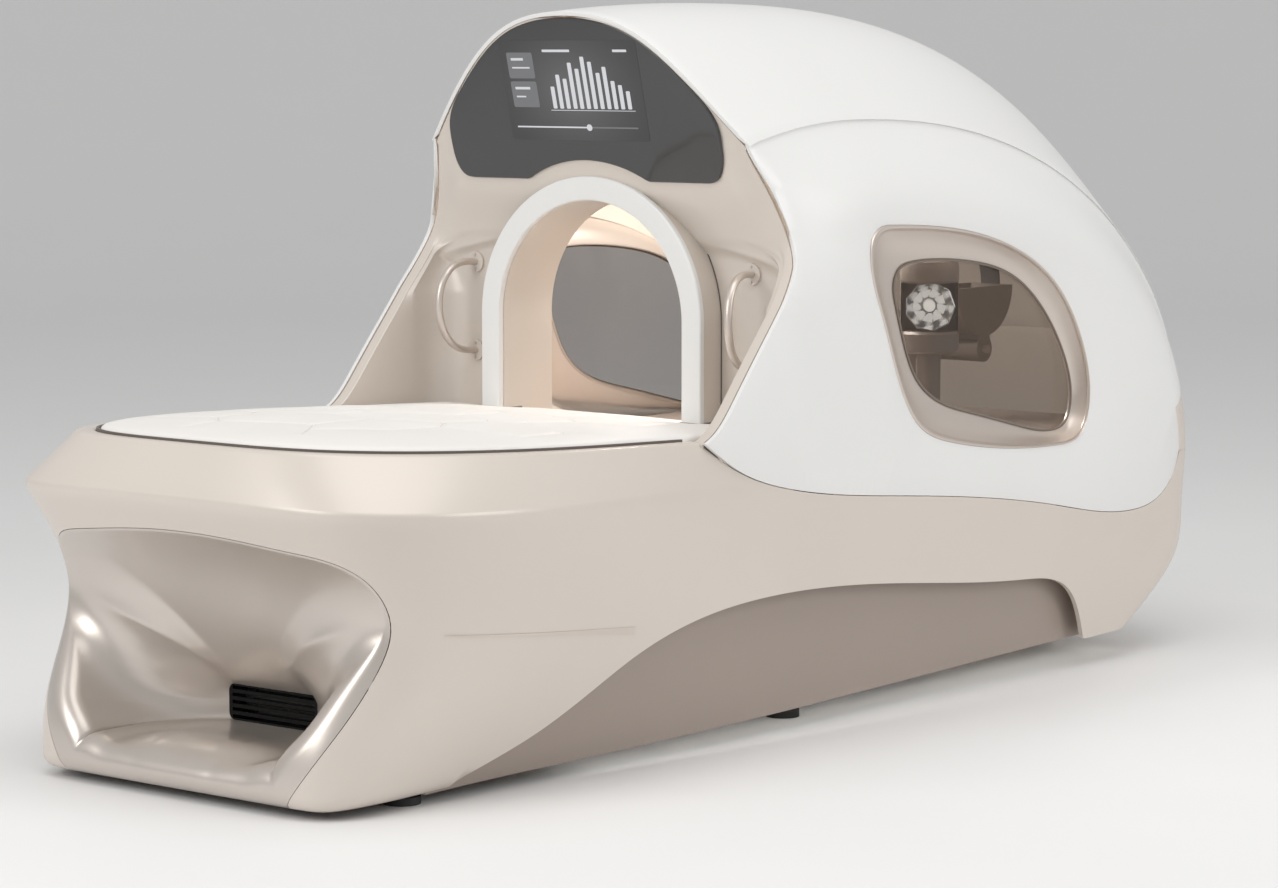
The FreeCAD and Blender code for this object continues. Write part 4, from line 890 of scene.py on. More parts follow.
def surfaceNormal(signedK, v):
    along = surfacePoint(signedK + 0.8, v) - surfacePoint(signedK - 0.8, v)
    rise = surfacePoint(signedK, min(v + 0.008, 1)) - surfacePoint(signedK, max(v - 0.008, 0))
    return unit(np.cross(rise, along))


def inwardWays():
    # direction square to the seam in the YZ plane for each point of the half seam, evened out at the corners
    ring = np.array([surfacePoint(k, v)[1:] for k, v in mouth])
    along = unit(np.roll(ring, -1, axis=0) - np.roll(ring, 1, axis=0))
    inward = np.column_stack([along[:, 1], -along[:, 0]])
    if np.sum(inward * (ring.mean(axis=0) - ring)) < 0:
        inward = -inward
    spread = scoop["even"]
    evened = sum(np.roll(inward, shift, axis=0) for shift in range(-spread, spread + 1))
    return unit(evened)[:len(seamSpots)]


def scoopPath(seamAt, way, slotAt, low, extra):
    # flush strip on the nose, rolled lip, then the bowl to the slot
    top = smoothStep((seamAt[2] - scoop["topFade"][0]) / scoop["topFade"][1])
    shares = np.array([top, 1 - top - low, low])
    flush, radius = shares @ scoop["flush"] + extra, shares @ scoop["lip"]
    turn = np.radians(shares @ scoop["lipTurn"])
    flatRows, lipRows, bowlRows = scoop["rows"]
    flat = []
    for away in scoop["gap"] + np.linspace(0, flush, flatRows):
        spot = noseSpot(*(seamAt[1:] + way * away))
        flat.append(surfacePoint(*spot))
    flat = np.array(flat)
    normal = surfaceNormal(*spot)
    ahead = np.array([0, *way])
    ahead = unit(ahead - normal * (ahead @ normal))
    angles = np.linspace(0, turn, lipRows)[:, None]
    lip = flat[-1] + (ahead * np.sin(angles) - normal * (1 - np.cos(angles))) * radius
    leave = ahead * math.cos(turn) - normal * math.sin(turn)
    arrive = unit(shares @ np.array(scoop["wayIn"]))
    span = np.linalg.norm(slotAt - lip[-1])
    first, last = scoop["pull"]
    poles = [lip[-1], lip[-1] + leave * (span * first), slotAt - arrive * (span * last), slotAt]
    bowl = bezier(poles, bowlRows)
    return np.vstack([flat, lip[1:], bowl[1:]])


def makeScoop():
    half = []
    corner = scoop["counts"][0] + scoop["counts"][1] - 2
    for i, way in enumerate(inwardWays()):
        low = smoothStep((i - corner) / (scoop["counts"][2] * scoop["lowReach"]))
        slotAt = np.array([scoop["slotX"], *slotSpots[i]])
        extra = scoop["cornerFlush"] * (1 - smoothStep(abs(i - corner) / scoop["cornerReach"]))
        half.append(scoopPath(surfacePoint(*seamSpots[i]), way, slotAt, low, extra))
    rows = len(half[0])
    ring = bothSides(np.array(half).reshape(len(half), -1), np.tile([1, -1, 1], rows))
    grid = ring.reshape(len(ring), rows, 3).transpose(1, 0, 2)
    piece = sheetPiece("scoopPanel", grid, loop=True)
    return dressSheet(piece, lambda c: (-1, -c.y, 0.25 - c.z), scoop["wall"], scoopMetal,
                      ["scoop_panel"], 60)


makeScoop()
print("scoop made")


# Hood: crown and flat sides in one white shell with a beige lining

window = {
    "outer": ((0.016, 0.903), (0.022, 0.934), (0.044, 0.952), (0.088, 0.957), (0.284, 0.945), (0.508, 0.900),
              (0.685, 0.809), (0.783, 0.680), (0.806, 0.560), (0.778, 0.500), (0.690, 0.481), (0.497, 0.490),
              (0.300, 0.518), (0.184, 0.560), (0.115, 0.650), (0.060, 0.775)),
    "pane": ((0.147, 0.838), (0.161, 0.864), (0.205, 0.878), (0.292, 0.880), (0.430, 0.869), (0.584, 0.829),
             (0.700, 0.745), (0.770, 0.652), (0.793, 0.572), (0.776, 0.524), (0.718, 0.508), (0.600, 0.525),
             (0.420, 0.566), (0.296, 0.601), (0.226, 0.648), (0.180, 0.728), (0.155, 0.795)),
    "count": 144, "depth": 0.038, "wall": 0.006, "gasket": 0.0026, "gasketIn": 0.4, "gasketOut": 0.6,
    "gasketSteps": 10, "paneBack": 0.041,
    "paneThick": 0.004, "paneLap": 0.002, "profileSteps": 40,
    # share from the outer to the pane outline, share of the depth
    "profile": ((0.0, 0.06), (0.01, 0.0), (0.035, -0.05), (0.07, -0.03), (0.13, 0.10), (0.25, 0.33),
                (0.42, 0.58), (0.6, 0.77), (0.78, 0.89), (0.9, 0.94), (0.955, 0.96), (0.98, 0.985),
                (1.0, 1.05), (1.0, 1.15)),
}
outerRing = closedSpline(window["outer"], window["count"])
paneRing = closedSpline(window["pane"], window["count"])


def sideOutline():
    # closed side-view outline of the flat side: seam, side line back to the front, raked edge
    seam = seamLine + np.array([0, hood["seamGap"]])
    line = np.array([hoodLine("side", t)[[0, 2]] for t in hoodTravels()[::-1]])
    return seam, line[:-1], rakedLine()


def hoodTravels():
    front = np.linspace(-1, 0, hood["frontStations"])
    rear = np.linspace(0, hood["split"], hood["rearStations"])
    cover = np.linspace(hood["split"], 1, hood["coverStations"])
    return np.concatenate([front, rear[1:], cover[1:]])


def fillWithHole(outer, inner):
    # triangles between a closed outline and a hole, both in the XZ plane
    bm = bmesh.new()
    for ring in (outer, inner):
        made = [bm.verts.new((x, 0, z)) for x, z in ring]
        for i, vert in enumerate(made):
            bm.edges.new((vert, made[(i + 1) % len(made)]))
    bmesh.ops.triangle_fill(bm, edges=bm.edges[:], use_beauty=True)
    for travel in hoodTravels()[1:hood["frontStations"] - 1]:
        at = hoodLine("side", travel)
        geom = bm.verts[:] + bm.edges[:] + bm.faces[:]
        bmesh.ops.bisect_plane(bm, geom=geom, plane_co=at, plane_no=(1, 0, 0))
    for height in hood["flatCuts"]:
        fronts = [f for f in bm.faces if f.calc_center_median().x < hood["drawnBack"]]
        edges = list({e for f in fronts for e in f.edges})
        geom = fronts + edges + list({v for f in fronts for v in f.verts})
        bmesh.ops.bisect_plane(bm, geom=geom, plane_co=(0, 0, height), plane_no=(0, 0, 1))
    bm.verts.index_update()
    verts = np.array([v.co[:] for v in bm.verts])
    faces = [tuple(v.index for v in f.verts) for f in bm.faces]
    bm.free()
    return verts, faces


def makeHood():
    travels = hoodTravels()
    split = hood["frontStations"] + hood["rearStations"] - 1
    white = np.array([hoodSection(t) for t in travels[:split]])
    white[0, :, 0] = frontEdge(white[0, :, 2])
    for row in white:
        row[:, 1] -= np.sign(row[:, 1]) * drawnIn(row[:, 0], row[:, 2])
    verts = list(white.reshape(-1, 3))
    faces = gridFaces(len(white), white.shape[1])
    seam, line, raked = sideOutline()
    outline = np.vstack([seam[:-1], line, raked[:-1]])
    flat, flatFaces = fillWithHole(outline, outerRing)
    flat[:, 1] = hood["half"] - drawnIn(flat[:, 0], flat[:, 2])
    for sign in (1, -1):
        offset = len(verts)
        verts += list(flat * np.array([1, sign, 1]))
        faces += [tuple(offset + i for i in face) for face in flatFaces]
    piece = buildPiece("hoodShell", verts, faces, hood["merge"])
    facePoint(piece, lambda c: (c.x * 0.3, c.y * 2, c.z - 0.7))
    piece.data.materials.append(whiteLacquer)
    piece.data.materials.append(beigeLacquer)
    thicken(piece, hood["skin"], 0, 1)
    roundEdges(piece, hood["rimRound"], angle=60)
    dress(piece, whiteLacquer,
          replaced=["hood_crown", "hood_side_left", "hood_side_right"], angle=35)
    cover = np.array([hoodSection(t) for t in travels[split - 1:]])
    piece = sheetPiece("rearCover", cover, merge=hood["merge"])
    facePoint(piece, lambda c: (1, c.y, 0))
    thicken(piece, hood["skin"])
    roundEdges(piece, hood["rimRound"], angle=60)
    dress(piece, beigeLacquer, replaced=["rear_cover"], angle=35)


makeHood()
print("hood made")


# Window frames: a rolled lip, a dished reveal and a stop for the pane

def atY(ring, y):
    # an outline given in X and Z, set at one Y
    return np.column_stack([ring[:, 0], np.full(len(ring), y), ring[:, 1]])


def makeWindowFrame(side, sign):
    start = np.argmin(np.linalg.norm(paneRing - outerRing[0], axis=1))
    pane = np.roll(paneRing, -start, axis=0)
    rows = []
    for along, deep in openSpline(window["profile"], window["profileSteps"]):
        y = sign * (hood["half"] - deep * window["depth"])
        rows.append(atY(blendTo(outerRing, pane, along), y))
    piece = sheetPiece("windowFrame_" + side, rows, loop=True)
    return dressSheet(piece, lambda c: (0, sign, 0), window["wall"], champagneMetal,
                      ["window_frame_" + side], 60)


def makeGasketAndShade(side, sign):
    # a round bead along the edge of the pane: a gasket, whose dark brown is also painted shade for the groove
    # at the pane's edge
    radius = window["gasket"]
    ring = insetRing(paneRing, radius * window["gasketIn"])
    path = atY(ring, sign * (hood["half"] - window["depth"] + radius * window["gasketOut"]))
    across = np.array([0, 1.0, 0])
    out = np.cross(unit(np.roll(path, -1, axis=0) - np.roll(path, 1, axis=0)), across)
    rows = []
    for turn in fullTurn(window["gasketSteps"]):
        rows.append(path + out * (math.cos(turn) * radius) + across * (math.sin(turn) * radius))
    piece = sheetPiece("windowGasketShade_" + side, rows + rows[:1], loop=True)
    return dress(piece, cupPlastic, angle=60)


def makePane(side, sign):
    ring = insetRing(paneRing, -window["paneLap"])
    y = sign * (hood["half"] - window["paneBack"])
    piece = buildPiece("windowPane_" + side, atY(ring, y), [tuple(range(len(ring)))])
    return dressSheet(piece, lambda c: (0, sign, 0), window["paneThick"], windowGlass,
                      ["window_pane_" + side], 30)


for side, sign in sides:
    makeWindowFrame(side, sign)
    makeGasketAndShade(side, sign)
    makePane(side, sign)
print("window frames made")


# Front wall: a swept sheet from the middle of the bulkhead round the fillet to the cheek's raked edge

frontWall = {
    "faceX": -0.172, "bend": (0.895, 1.030), "wallY": 0.445, "outY": 0.4795, "fillet": 0.085, "low": 0.545,
    "flatSteps": 34, "filletSteps": 14, "wallSteps": 12, "edgeSteps": 5, "archHole": 0.252,
    "archCentre": 0.772, "nicheTop": 0.918, "nicheFrom": 0.300, "nicheRound": 0.070, "nicheEase": 0.040,
    "shoulder": 0.015, "wall": 0.006, "top": 1.352, "glassBack": 0.0065, "band": 0.0225, "bandRound": 0.003,
    "bandFade": (0.880, 0.070), "rimBack": 0.075, "rimGap": 0.0028, "behind": 0.0015, "rimInset": 0.0035,
    "rimBand": 0.0030, "lowRows": 110, "highRows": 41, "highFrom": 1.20, "holeX": -0.30, "holeTop": 1.1,
    "skinGap": 0.0005, "edgeAhead": 0.001, "easeShare": 0.45, "filletLeast": 0.0005, "filletShare": 0.95,
    "filletPull": 0.62,
}


def faceX(y, z):
    # the wall under a shoulder that bends down beside the cheek, then forward into the tilted plane
    low, high = frontWall["bend"]
    tilted = frontPlane(z) + frontWall["glassBack"]
    out = np.maximum(np.abs(y) - frontWall["nicheFrom"], 0) / (frontWall["wallY"] - frontWall["nicheFrom"])
    edge = frontWall["nicheTop"] - frontWall["nicheRound"] * out ** 2
    wall = frontWall["faceX"] - frontWall["shoulder"] * smoothStep((z - edge) / frontWall["nicheEase"] + 0.5)
    return blendTo(wall, tilted, smoothStep((z - low) / (high - low)))


def makeFrontWall():
    rimHalf = hoodHalfSection(-1.0, hood["skin"] + frontWall["skinGap"])
    order = np.argsort(rimHalf[:, 2])
    edgeZ, edgeY = rimHalf[order, 2], rimHalf[order, 1]
    raked = rakedLine()[::-1]
    high = frontWall["highFrom"]
    closing = 1 - (1 - np.linspace(0, 1, frontWall["highRows"])[1:]) ** 2
    zs = np.concatenate([np.linspace(frontWall["low"], high, frontWall["lowRows"]),
                         blendTo(high, frontWall["top"], closing)])
    rows = []
    for z in zs:
        share = smoothStep((z - frontWall["bandFade"][0]) / frontWall["bandFade"][1])
        onRake = z < hood["side"]["front"]
        lineX = np.interp(z, raked[:, 1], raked[:, 0]) if onRake else frontEdge(z)[0]
        drawn = drawnIn(lineX, z)[0]
        hoodY = np.interp(z, edgeZ, edgeY) - drawn - frontWall["rimGap"]
        wallY = blendTo(frontWall["wallY"] - drawn, hoodY - frontWall["rimInset"], share)
        outY = min(blendTo(frontWall["outY"] - drawn, hoodY, share), hoodY)
        bandY = outY - blendTo(frontWall["band"], frontWall["rimBand"], share)
        face = float(faceX(wallY, z))
        edgeX = min(lineX, face - frontWall["edgeAhead"]) + frontWall["behind"]
        ease = min(frontWall["bandRound"], (outY - bandY) * frontWall["easeShare"])
        room = max(face - edgeX - ease, frontWall["filletLeast"]) * frontWall["filletShare"]
        fillet = min(frontWall["fillet"], room, wallY * 0.5)
        flatY = np.linspace(0, wallY - fillet, frontWall["flatSteps"])
        flat = np.column_stack([faceX(flatY, z), flatY, np.full(len(flatY), z)])
        last = flat[-1]
        bendEnd = np.array([face - fillet, wallY, z])
        corner = np.array([last[0], wallY, z])
        pull = frontWall["filletPull"]
        bend = bezier([last, blendTo(last, corner, pull), blendTo(bendEnd, corner, pull), bendEnd],
                      frontWall["filletSteps"])[1:]
        wallEnd = np.array([edgeX + ease, bandY, z])
        wall = blendTo(bendEnd, wallEnd, np.linspace(0, 1, frontWall["wallSteps"])[1:, None])
        inner = bezier([wallEnd, (edgeX, bandY, z), (edgeX, bandY + ease, z)], frontWall["edgeSteps"])[1:]
        outer = blendTo(inner[-1], np.array([edgeX, outY, z]), np.array([[0.5], [1.0]]))
        row = np.vstack([flat, bend, wall, inner, outer])
        plainY = np.linspace(0, outY, len(row))
        plain = np.column_stack([faceX(plainY, z), plainY, np.full(len(row), z)])
        row = blendTo(row, plain, share)
        toEdge = lineX + frontWall["behind"] - row[-1, 0]
        row[:, 0] += toEdge * smoothStep((row[:, 1] - outY) / frontWall["rimBack"] + 1)
        rows.append(row)
    verts, faces = gridPair(np.array(rows))
    kept = []
    for face in faces:
        middle = np.mean([verts[i] for i in face], axis=0)
        radius = math.hypot(middle[1], max(middle[2] - frontWall["archCentre"], 0))
        onFace = middle[0] > frontWall["holeX"] and middle[2] < frontWall["holeTop"]
        if radius < frontWall["archHole"] and onFace:
            continue
        kept.append(face)
    piece = buildPiece("frontWall", verts, kept, hood["merge"])
    return dressSheet(piece, lambda c: (-1, -c.y, 0), frontWall["wall"], beigeLacquer,
                      ["bulkhead", "cheek_left", "cheek_right"], 50)


makeFrontWall()
print("front wall made")


# Display: a notched pane with an eased edge

display = {
    "half": 0.338, "low": 1.040, "border": 0.013, "keepAbove": 0.165, "notch": 0.307, "notchEase": 0.007,
    "side": ((-0.003, 0.110), (0.0, 0.064), (-0.007, 0.024), (-0.022, 0.005), (-0.048, 0.0)),
    "count": 420, "ease": 0.003, "thick": 0.006, "crownStep": 3, "upperSteps": 260, "bowSteps": 40,
    "cornerSteps": 8, "easeSteps": 6,
}


def displayOutline():
    crown = hoodHalfSection(-1.0, display["border"])[hood["leanSteps"]:]
    crown = crown[::-1][::display["crownStep"]]
    right = [(p[1], p[2]) for p in crown if p[2] > display["low"] + display["keepAbove"]]
    right += [(display["half"] + y, display["low"] + z) for y, z in display["side"]]
    upper = openSpline([(-right[1][0], right[1][1])] + right, display["upperSteps"])
    upper = upper[upper[:, 0] >= 0]
    radius, ease = display["notch"], display["notchEase"]
    meet = math.sqrt(radius ** 2 - (display["low"] - frontWall["archCentre"]) ** 2)
    turn = np.linspace(math.asin(meet / radius) - ease / radius, 0, display["bowSteps"])
    bow = np.column_stack([np.sin(turn) * radius, frontWall["archCentre"] + np.cos(turn) * radius])
    low = display["low"]
    corner = bezier([(meet + ease, low), (meet, low), bow[0]], display["cornerSteps"])
    half = np.vstack([upper, corner, bow[1:]])
    return evenRing(bothSides(half, np.array([-1, 1])), display["count"])


def onFrontPlane(points, proud):
    # points given by Y and Z, raised off the tilted plane
    normal = np.array([-1, 0, -hood["frontSlope"]]) / math.hypot(1, hood["frontSlope"])
    flat = np.column_stack([frontPlane(points[:, 1]), points[:, 0], points[:, 1]])
    return flat + normal * proud


def makeDisplay():
    outline = displayOutline()
    ease, thick = display["ease"], display["thick"]
    rows = [onFrontPlane(outline, -thick), onFrontPlane(outline, -ease)]
    for turn in np.linspace(0, math.pi / 2, display["easeSteps"])[1:]:
        ring = insetRing(outline, ease * (1 - math.cos(turn)))
        rows.append(onFrontPlane(ring, ease * (math.sin(turn) - 1)))
    count = display["count"]
    last = (len(rows) - 1) * count
    caps = [tuple(range(last, last + count)), tuple(range(count))[::-1]]
    piece = sheetPiece("displayPane", rows, loop=True, caps=caps)
    return dress(piece, displayGlass, replaced=["display_glass"], angle=30)


makeDisplay()


# Screen: a lit field with plain tiles, bars and a slider

screen = {
    "half": 0.172, "low": 1.118, "high": 1.310, "proud": 0.0004, "sheet": 0.0004, "corner": 0.006,
    # left, low, right, high as shares of the field
    "tiles": ((0.05, 0.62, 0.24, 0.88), (0.05, 0.33, 0.24, 0.59)),
    "lines": ((0.08, 0.80, 0.17, 0.825), (0.08, 0.72, 0.21, 0.735), (0.08, 0.51, 0.19, 0.535),
              (0.08, 0.43, 0.15, 0.445), (0.32, 0.885, 0.52, 0.91), (0.83, 0.885, 0.93, 0.91),
              (0.32, 0.30, 0.93, 0.306)),
    "bars": (0.22, 0.34, 0.30, 0.46, 0.40, 0.52, 0.47, 0.36, 0.42, 0.28, 0.24, 0.18),
    "barField": (0.33, 0.32, 0.92), "barWidth": 0.028,
    "slider": (0.05, 0.125, 0.93, 0.14), "sliderFull": 0.58, "knob": (0.56, 0.10, 0.60, 0.165),
    "tileRound": 0.004, "barRound": 0.002, "lineRound": 0.001, "knobRound": 0.01,
}


def fieldPoints(left, low, right, high, radius):
    # rounded rectangle on the screen, in Y and Z
    y0, y1 = blendTo(screen["half"], -screen["half"], left), blendTo(screen["half"], -screen["half"], right)
    z0, z1 = blendTo(screen["low"], screen["high"], low), blendTo(screen["low"], screen["high"], high)
    radius = min(radius, abs(y1 - y0) * 0.49, abs(z1 - z0) * 0.49)
    points = []
    for cy, cz, first in ((y1 + radius, z1 - radius, 90), (y0 - radius, z1 - radius, 0),
                          (y0 - radius, z0 + radius, -90), (y1 + radius, z0 + radius, -180)):
        for turn in np.radians(np.linspace(first, first + 90, 5))[::-1]:
            points.append((cy + math.cos(turn) * radius, cz + math.sin(turn) * radius))
    return np.array(points)


def makeMarks(name, fields, proud, material):
    verts, faces = [], []
    for field in fields:
        ring = onFrontPlane(fieldPoints(*field), proud)
        faces.append(tuple(range(len(verts), len(verts) + len(ring))))
        verts += list(ring)
    piece = buildPiece(name, verts, faces, 1e-6)
    return dressSheet(piece, lambda c: (-1, 0, -hood["frontSlope"]), screen["sheet"] * 0.5, material,
                      angle=30)


def makeScreen():
    proud, barRound = screen["proud"], screen["barRound"]
    makeMarks("screenField", [(0, 0, 1, 1, screen["corner"])], proud, screenField)
    makeMarks("screenTiles", [tile + (screen["tileRound"],) for tile in screen["tiles"]], proud * 2, markDim)
    left, low, right = screen["barField"]
    bars = []
    for i, tall in enumerate(screen["bars"]):
        at = blendTo(left, right, (i + 0.5) / len(screen["bars"]))
        bars.append((at - screen["barWidth"] / 2, low, at + screen["barWidth"] / 2, low + tall, barRound))
    trackLeft, trackLow, trackRight, trackHigh = screen["slider"]
    makeMarks("screenTrack", [(trackLeft, trackLow, trackRight, trackHigh, barRound)], proud * 2, markDim)
    marks = bars + [line + (screen["lineRound"],) for line in screen["lines"]]
    marks.append((trackLeft, trackLow, screen["sliderFull"], trackHigh, barRound))
    marks.append(screen["knob"] + (screen["knobRound"],))
    makeMarks("screenMarks", marks, proud * 3, markBright)


makeScreen()
print("display made")


# Arch: white front band, beige collar behind it, beige tunnel

arch = {
    "outer": 0.277, "inner": 0.236, "centre": 0.772, "front": -0.2405, "bandBack": -0.2285,
    "collarBack": -0.160, "foot": 0.557, "round": 0.004, "turnSteps": 72, "legSteps": 14,
    "collarStep": 0.0025, "tunnelBack": -0.080, "gap": 0.001, "bandLap": 0.006, "shoeIn": 0.0095,
    "shoeOut": 0.002, "tunnelWall": 0.0075, "wallX": -0.172, "sill": (0.560, 0.568),
    "shoe": (0.577, 0.584), "collarRound": 0.002, "liningRound": 0.003, "liningGap": 0.0002,
    "sillGap": 0.0003, "bevel": 0.002,
    # painted shade: a dark ring that stands for the shaded groove round the collar: inside and outside of its
    # edge, before and behind the wall
    "groove": (0.002, 0.0022, 0.0012, 0.004), "shadeRingRound": 0.0005,
}


def archPath(radius):
    legs = np.linspace(arch["foot"], arch["centre"], arch["legSteps"])[:-1]
    turn = np.linspace(0, math.pi, arch["turnSteps"])
    bow = np.column_stack([np.cos(turn) * radius, arch["centre"] + np.sin(turn) * radius])
    right = np.column_stack([np.full(len(legs), radius), legs])
    left = np.column_stack([np.full(len(legs), -radius), legs[::-1]])
    return np.vstack([right, bow, left])


def archBand(name, section, material, replaced):
    # section: closed list of radius and X
    rows = []
    for radius, x in section:
        path = archPath(radius)
        rows.append(np.column_stack([np.full(len(path), x), path]))
    rows = np.array(rows)
    count = rows.shape[1]
    faces = []
    for r in range(len(rows)):
        n = (r + 1) % len(rows)
        here, there = r * count, n * count
        faces += [(here + c, here + c + 1, there + c + 1, there + c) for c in range(count - 1)]
    faces.append(tuple(r * count for r in range(len(rows))))
    faces.append(tuple(r * count + count - 1 for r in range(len(rows)))[::-1])
    piece = buildPiece(name, rows.reshape(-1, 3), faces)
    return dress(piece, material, replaced=replaced, angle=40)


def roundedSection(low, high, front, back, radius, steps=6):
    turn = np.linspace(0, math.pi / 2, steps)
    first = [(low + radius - math.sin(a) * radius, front + radius - math.cos(a) * radius) for a in turn[::-1]]
    second = [(high - radius + math.sin(a) * radius, front + radius - math.cos(a) * radius) for a in turn]
    return first + second + [(high, back), (low, back)]


def boxPiece(name, low, high, material, bevel):
    (x0, y0, z0), (x1, y1, z1) = low, high
    verts = [(x, y, z) for x in (x0, x1) for y in (y0, y1) for z in (z0, z1)]
    faces = [(0, 1, 3, 2), (4, 6, 7, 5), (0, 4, 5, 1), (2, 3, 7, 6), (0, 2, 6, 4), (1, 5, 7, 3)]
    piece = buildPiece(name, verts, faces)
    roundEdges(piece, bevel, 3)
    return dress(piece, material, angle=40)


def makeArch():
    inner, outer, step = arch["inner"], arch["outer"], arch["collarStep"]
    behind = arch["bandBack"] + arch["gap"]
    band = roundedSection(inner - arch["bandLap"], outer, arch["front"], arch["bandBack"], arch["round"])
    archBand("archBand", band, whiteLacquer, ["arch_ring"])
    collar = roundedSection(inner, outer - step, behind, arch["collarBack"], arch["collarRound"])
    archBand("archCollar", collar, beigeLacquer, [])
    # painted shade: a thin dark ring where the collar meets the wall, in place of the groove's shadow
    inside, outside, before, after = arch["groove"]
    groove = roundedSection(outer - step - inside, outer - step + outside, arch["wallX"] - before,
                            arch["wallX"] + after, arch["shadeRingRound"])
    archBand("archShadeRing", groove, darkTrim, [])
    lining = roundedSection(inner - arch["tunnelWall"], inner - arch["liningGap"], behind,
                            arch["tunnelBack"], arch["liningRound"])
    archBand("archLining", lining, beigeLacquer, ["arch_tunnel"])
    low, high = arch["sill"]
    span = inner - arch["tunnelWall"] - arch["sillGap"]
    boxPiece("archSill", (arch["wallX"] + arch["gap"], -span, low), (arch["tunnelBack"], span, high),
             beigeLacquer, arch["bevel"])
    low, high = arch["shoe"]
    for side, sign in sides:
        near, far = sorted((sign * (inner - arch["shoeIn"]), sign * (outer + arch["shoeOut"])))
        boxPiece("archShoe_" + side, (arch["front"] - arch["shoeOut"], near, low),
                 (arch["wallX"] - arch["gap"], far, high), darkTrim, arch["bevel"])


makeArch()
print("arch made")


# Lamp: a round housing with an open front, a faceted bowl in it and the bulb

lamp = {
    "x": 0.432, "y": -0.340, "z": 0.777, "aim": (-0.8, -0.6), "rim": 0.050, "back": 0.018, "ahead": 0.036,
    "depth": 0.042, "facets": 9, "rows": 3, "flare": 0.55, "wall": 0.0025, "housing": 0.060, "low": 0.682,
    "high": 0.872, "open": (0.726, 0.824), "ease": 0.005, "shell": 0.004, "shellIn": 0.001, "shellTurn": 200,
    "shellSteps": 40, "column": 0.024, "foot": 0.503, "turns": 48,
    "bulb": 0.012, "bulbLong": 1.4, "bulbBack": 0.55, "bulbRows": 13, "bulbTurns": 20,
}


def roundLamp(radius, height, turns):
    return [(lamp["x"] + math.cos(a) * radius, lamp["y"] + math.sin(a) * radius, height) for a in turns]


def turnedSolid(profile, verts, faces):
    # adds a solid of revolution about the housing's axis, from pairs of radius and height
    offset = len(verts)
    for radius, height in profile:
        verts += roundLamp(radius, height, fullTurn(lamp["turns"]))
    faces += gridFaces(len(profile), lamp["turns"], loop=True, offset=offset)


def makeLampHousing():
    radius, ease, low, high = lamp["housing"], lamp["ease"], lamp["low"], lamp["high"]
    openLow, openHigh = lamp["open"]
    verts, faces = [], []
    turnedSolid([(0, low), (radius - ease, low), (radius, low + ease), (radius, openLow - ease),
                 (radius - ease, openLow), (0, openLow)], verts, faces)
    turnedSolid([(0, openHigh), (radius - ease, openHigh), (radius, openHigh + ease),
                 (radius, high - 3 * ease), (radius - ease, high - ease), (radius - 3 * ease, high),
                 (0, high)], verts, faces)
    turnedSolid([(0, lamp["foot"]), (lamp["column"], lamp["foot"]), (lamp["column"], low), (0, low)],
                verts, faces)
    back = math.atan2(-lamp["aim"][1], -lamp["aim"][0])
    reachTurn = math.radians(lamp["shellTurn"] / 2)
    offset = len(verts)
    outside, inside = radius - lamp["shellIn"], radius - lamp["shell"]
    section = [(outside, openLow), (outside, openHigh), (inside, openHigh), (inside, openLow)]
    section.append(section[0])
    for r, z in section:
        verts += roundLamp(r, z, np.linspace(back - reachTurn, back + reachTurn, lamp["shellSteps"]))
    faces += gridFaces(len(section), lamp["shellSteps"], offset=offset)
    piece = buildPiece("lampHousing", verts, faces)
    dress(piece, taupePanel, replaced=["lamp_brackets"], angle=35)


def makeReflector():
    centre = np.array([lamp["x"], lamp["y"], lamp["z"]])
    aim, up = np.array(lamp["aim"] + (0,)), np.array([0, 0, 1.0])
    across = np.cross(aim, up)
    rows = []
    for r in range(lamp["rows"] + 1):
        share = r / lamp["rows"]
        radius = blendTo(lamp["back"], lamp["rim"], share ** lamp["flare"]) - lamp["shellIn"]
        turn = ((np.arange(lamp["facets"]) + 0.5 * (r % 2)) * 2 * math.pi / lamp["facets"])[:, None]
        middle = centre + aim * (lamp["ahead"] - lamp["depth"] * (1 - share))
        rows.append(middle + (across * np.cos(turn) + up * np.sin(turn)) * radius)
    piece = sheetPiece("lampReflector", rows, loop=True, caps=[tuple(range(lamp["facets"]))])
    dressSheet(piece, lambda c: aim * 3 - (np.array(c) - centre) * 20, lamp["wall"], chromeFinish,
               ["lamp_reflectors"], 6)
    rows, turns = [], lamp["bulbTurns"]
    middle = centre + aim * (lamp["ahead"] - lamp["depth"] * lamp["bulbBack"])
    for a in np.linspace(0.02, math.pi - 0.02, lamp["bulbRows"]):
        turn = fullTurn(turns)[:, None]
        girth = (across * np.cos(turn) + up * np.sin(turn)) * math.sin(a)
        rows.append(middle + (aim * (math.cos(a) * lamp["bulbLong"]) + girth) * lamp["bulb"])
    last = turns * (lamp["bulbRows"] - 1)
    caps = [tuple(range(turns)), tuple(range(last, last + turns))]
    dress(sheetPiece("lampBulb", rows, loop=True, caps=caps), bulbGlow, angle=60)


makeLampHousing()
makeReflector()
print("lamp made")


# Handles: slim oval bars bowed out from their flanges

handle = {
    "y": 0.349, "bow": 0.016, "wallX": -0.175, "radius": (0.0088, 0.0068), "steps": 64, "turns": 18,
    # distance out from the wall and height, from the upper end to the lower one
    "path": ((0, 0.868), (0.030, 0.8685), (0.060, 0.859), (0.084, 0.831), (0.093, 0.787), (0.086, 0.743),
             (0.064, 0.709), (0.032, 0.6925), (0, 0.690)),
}


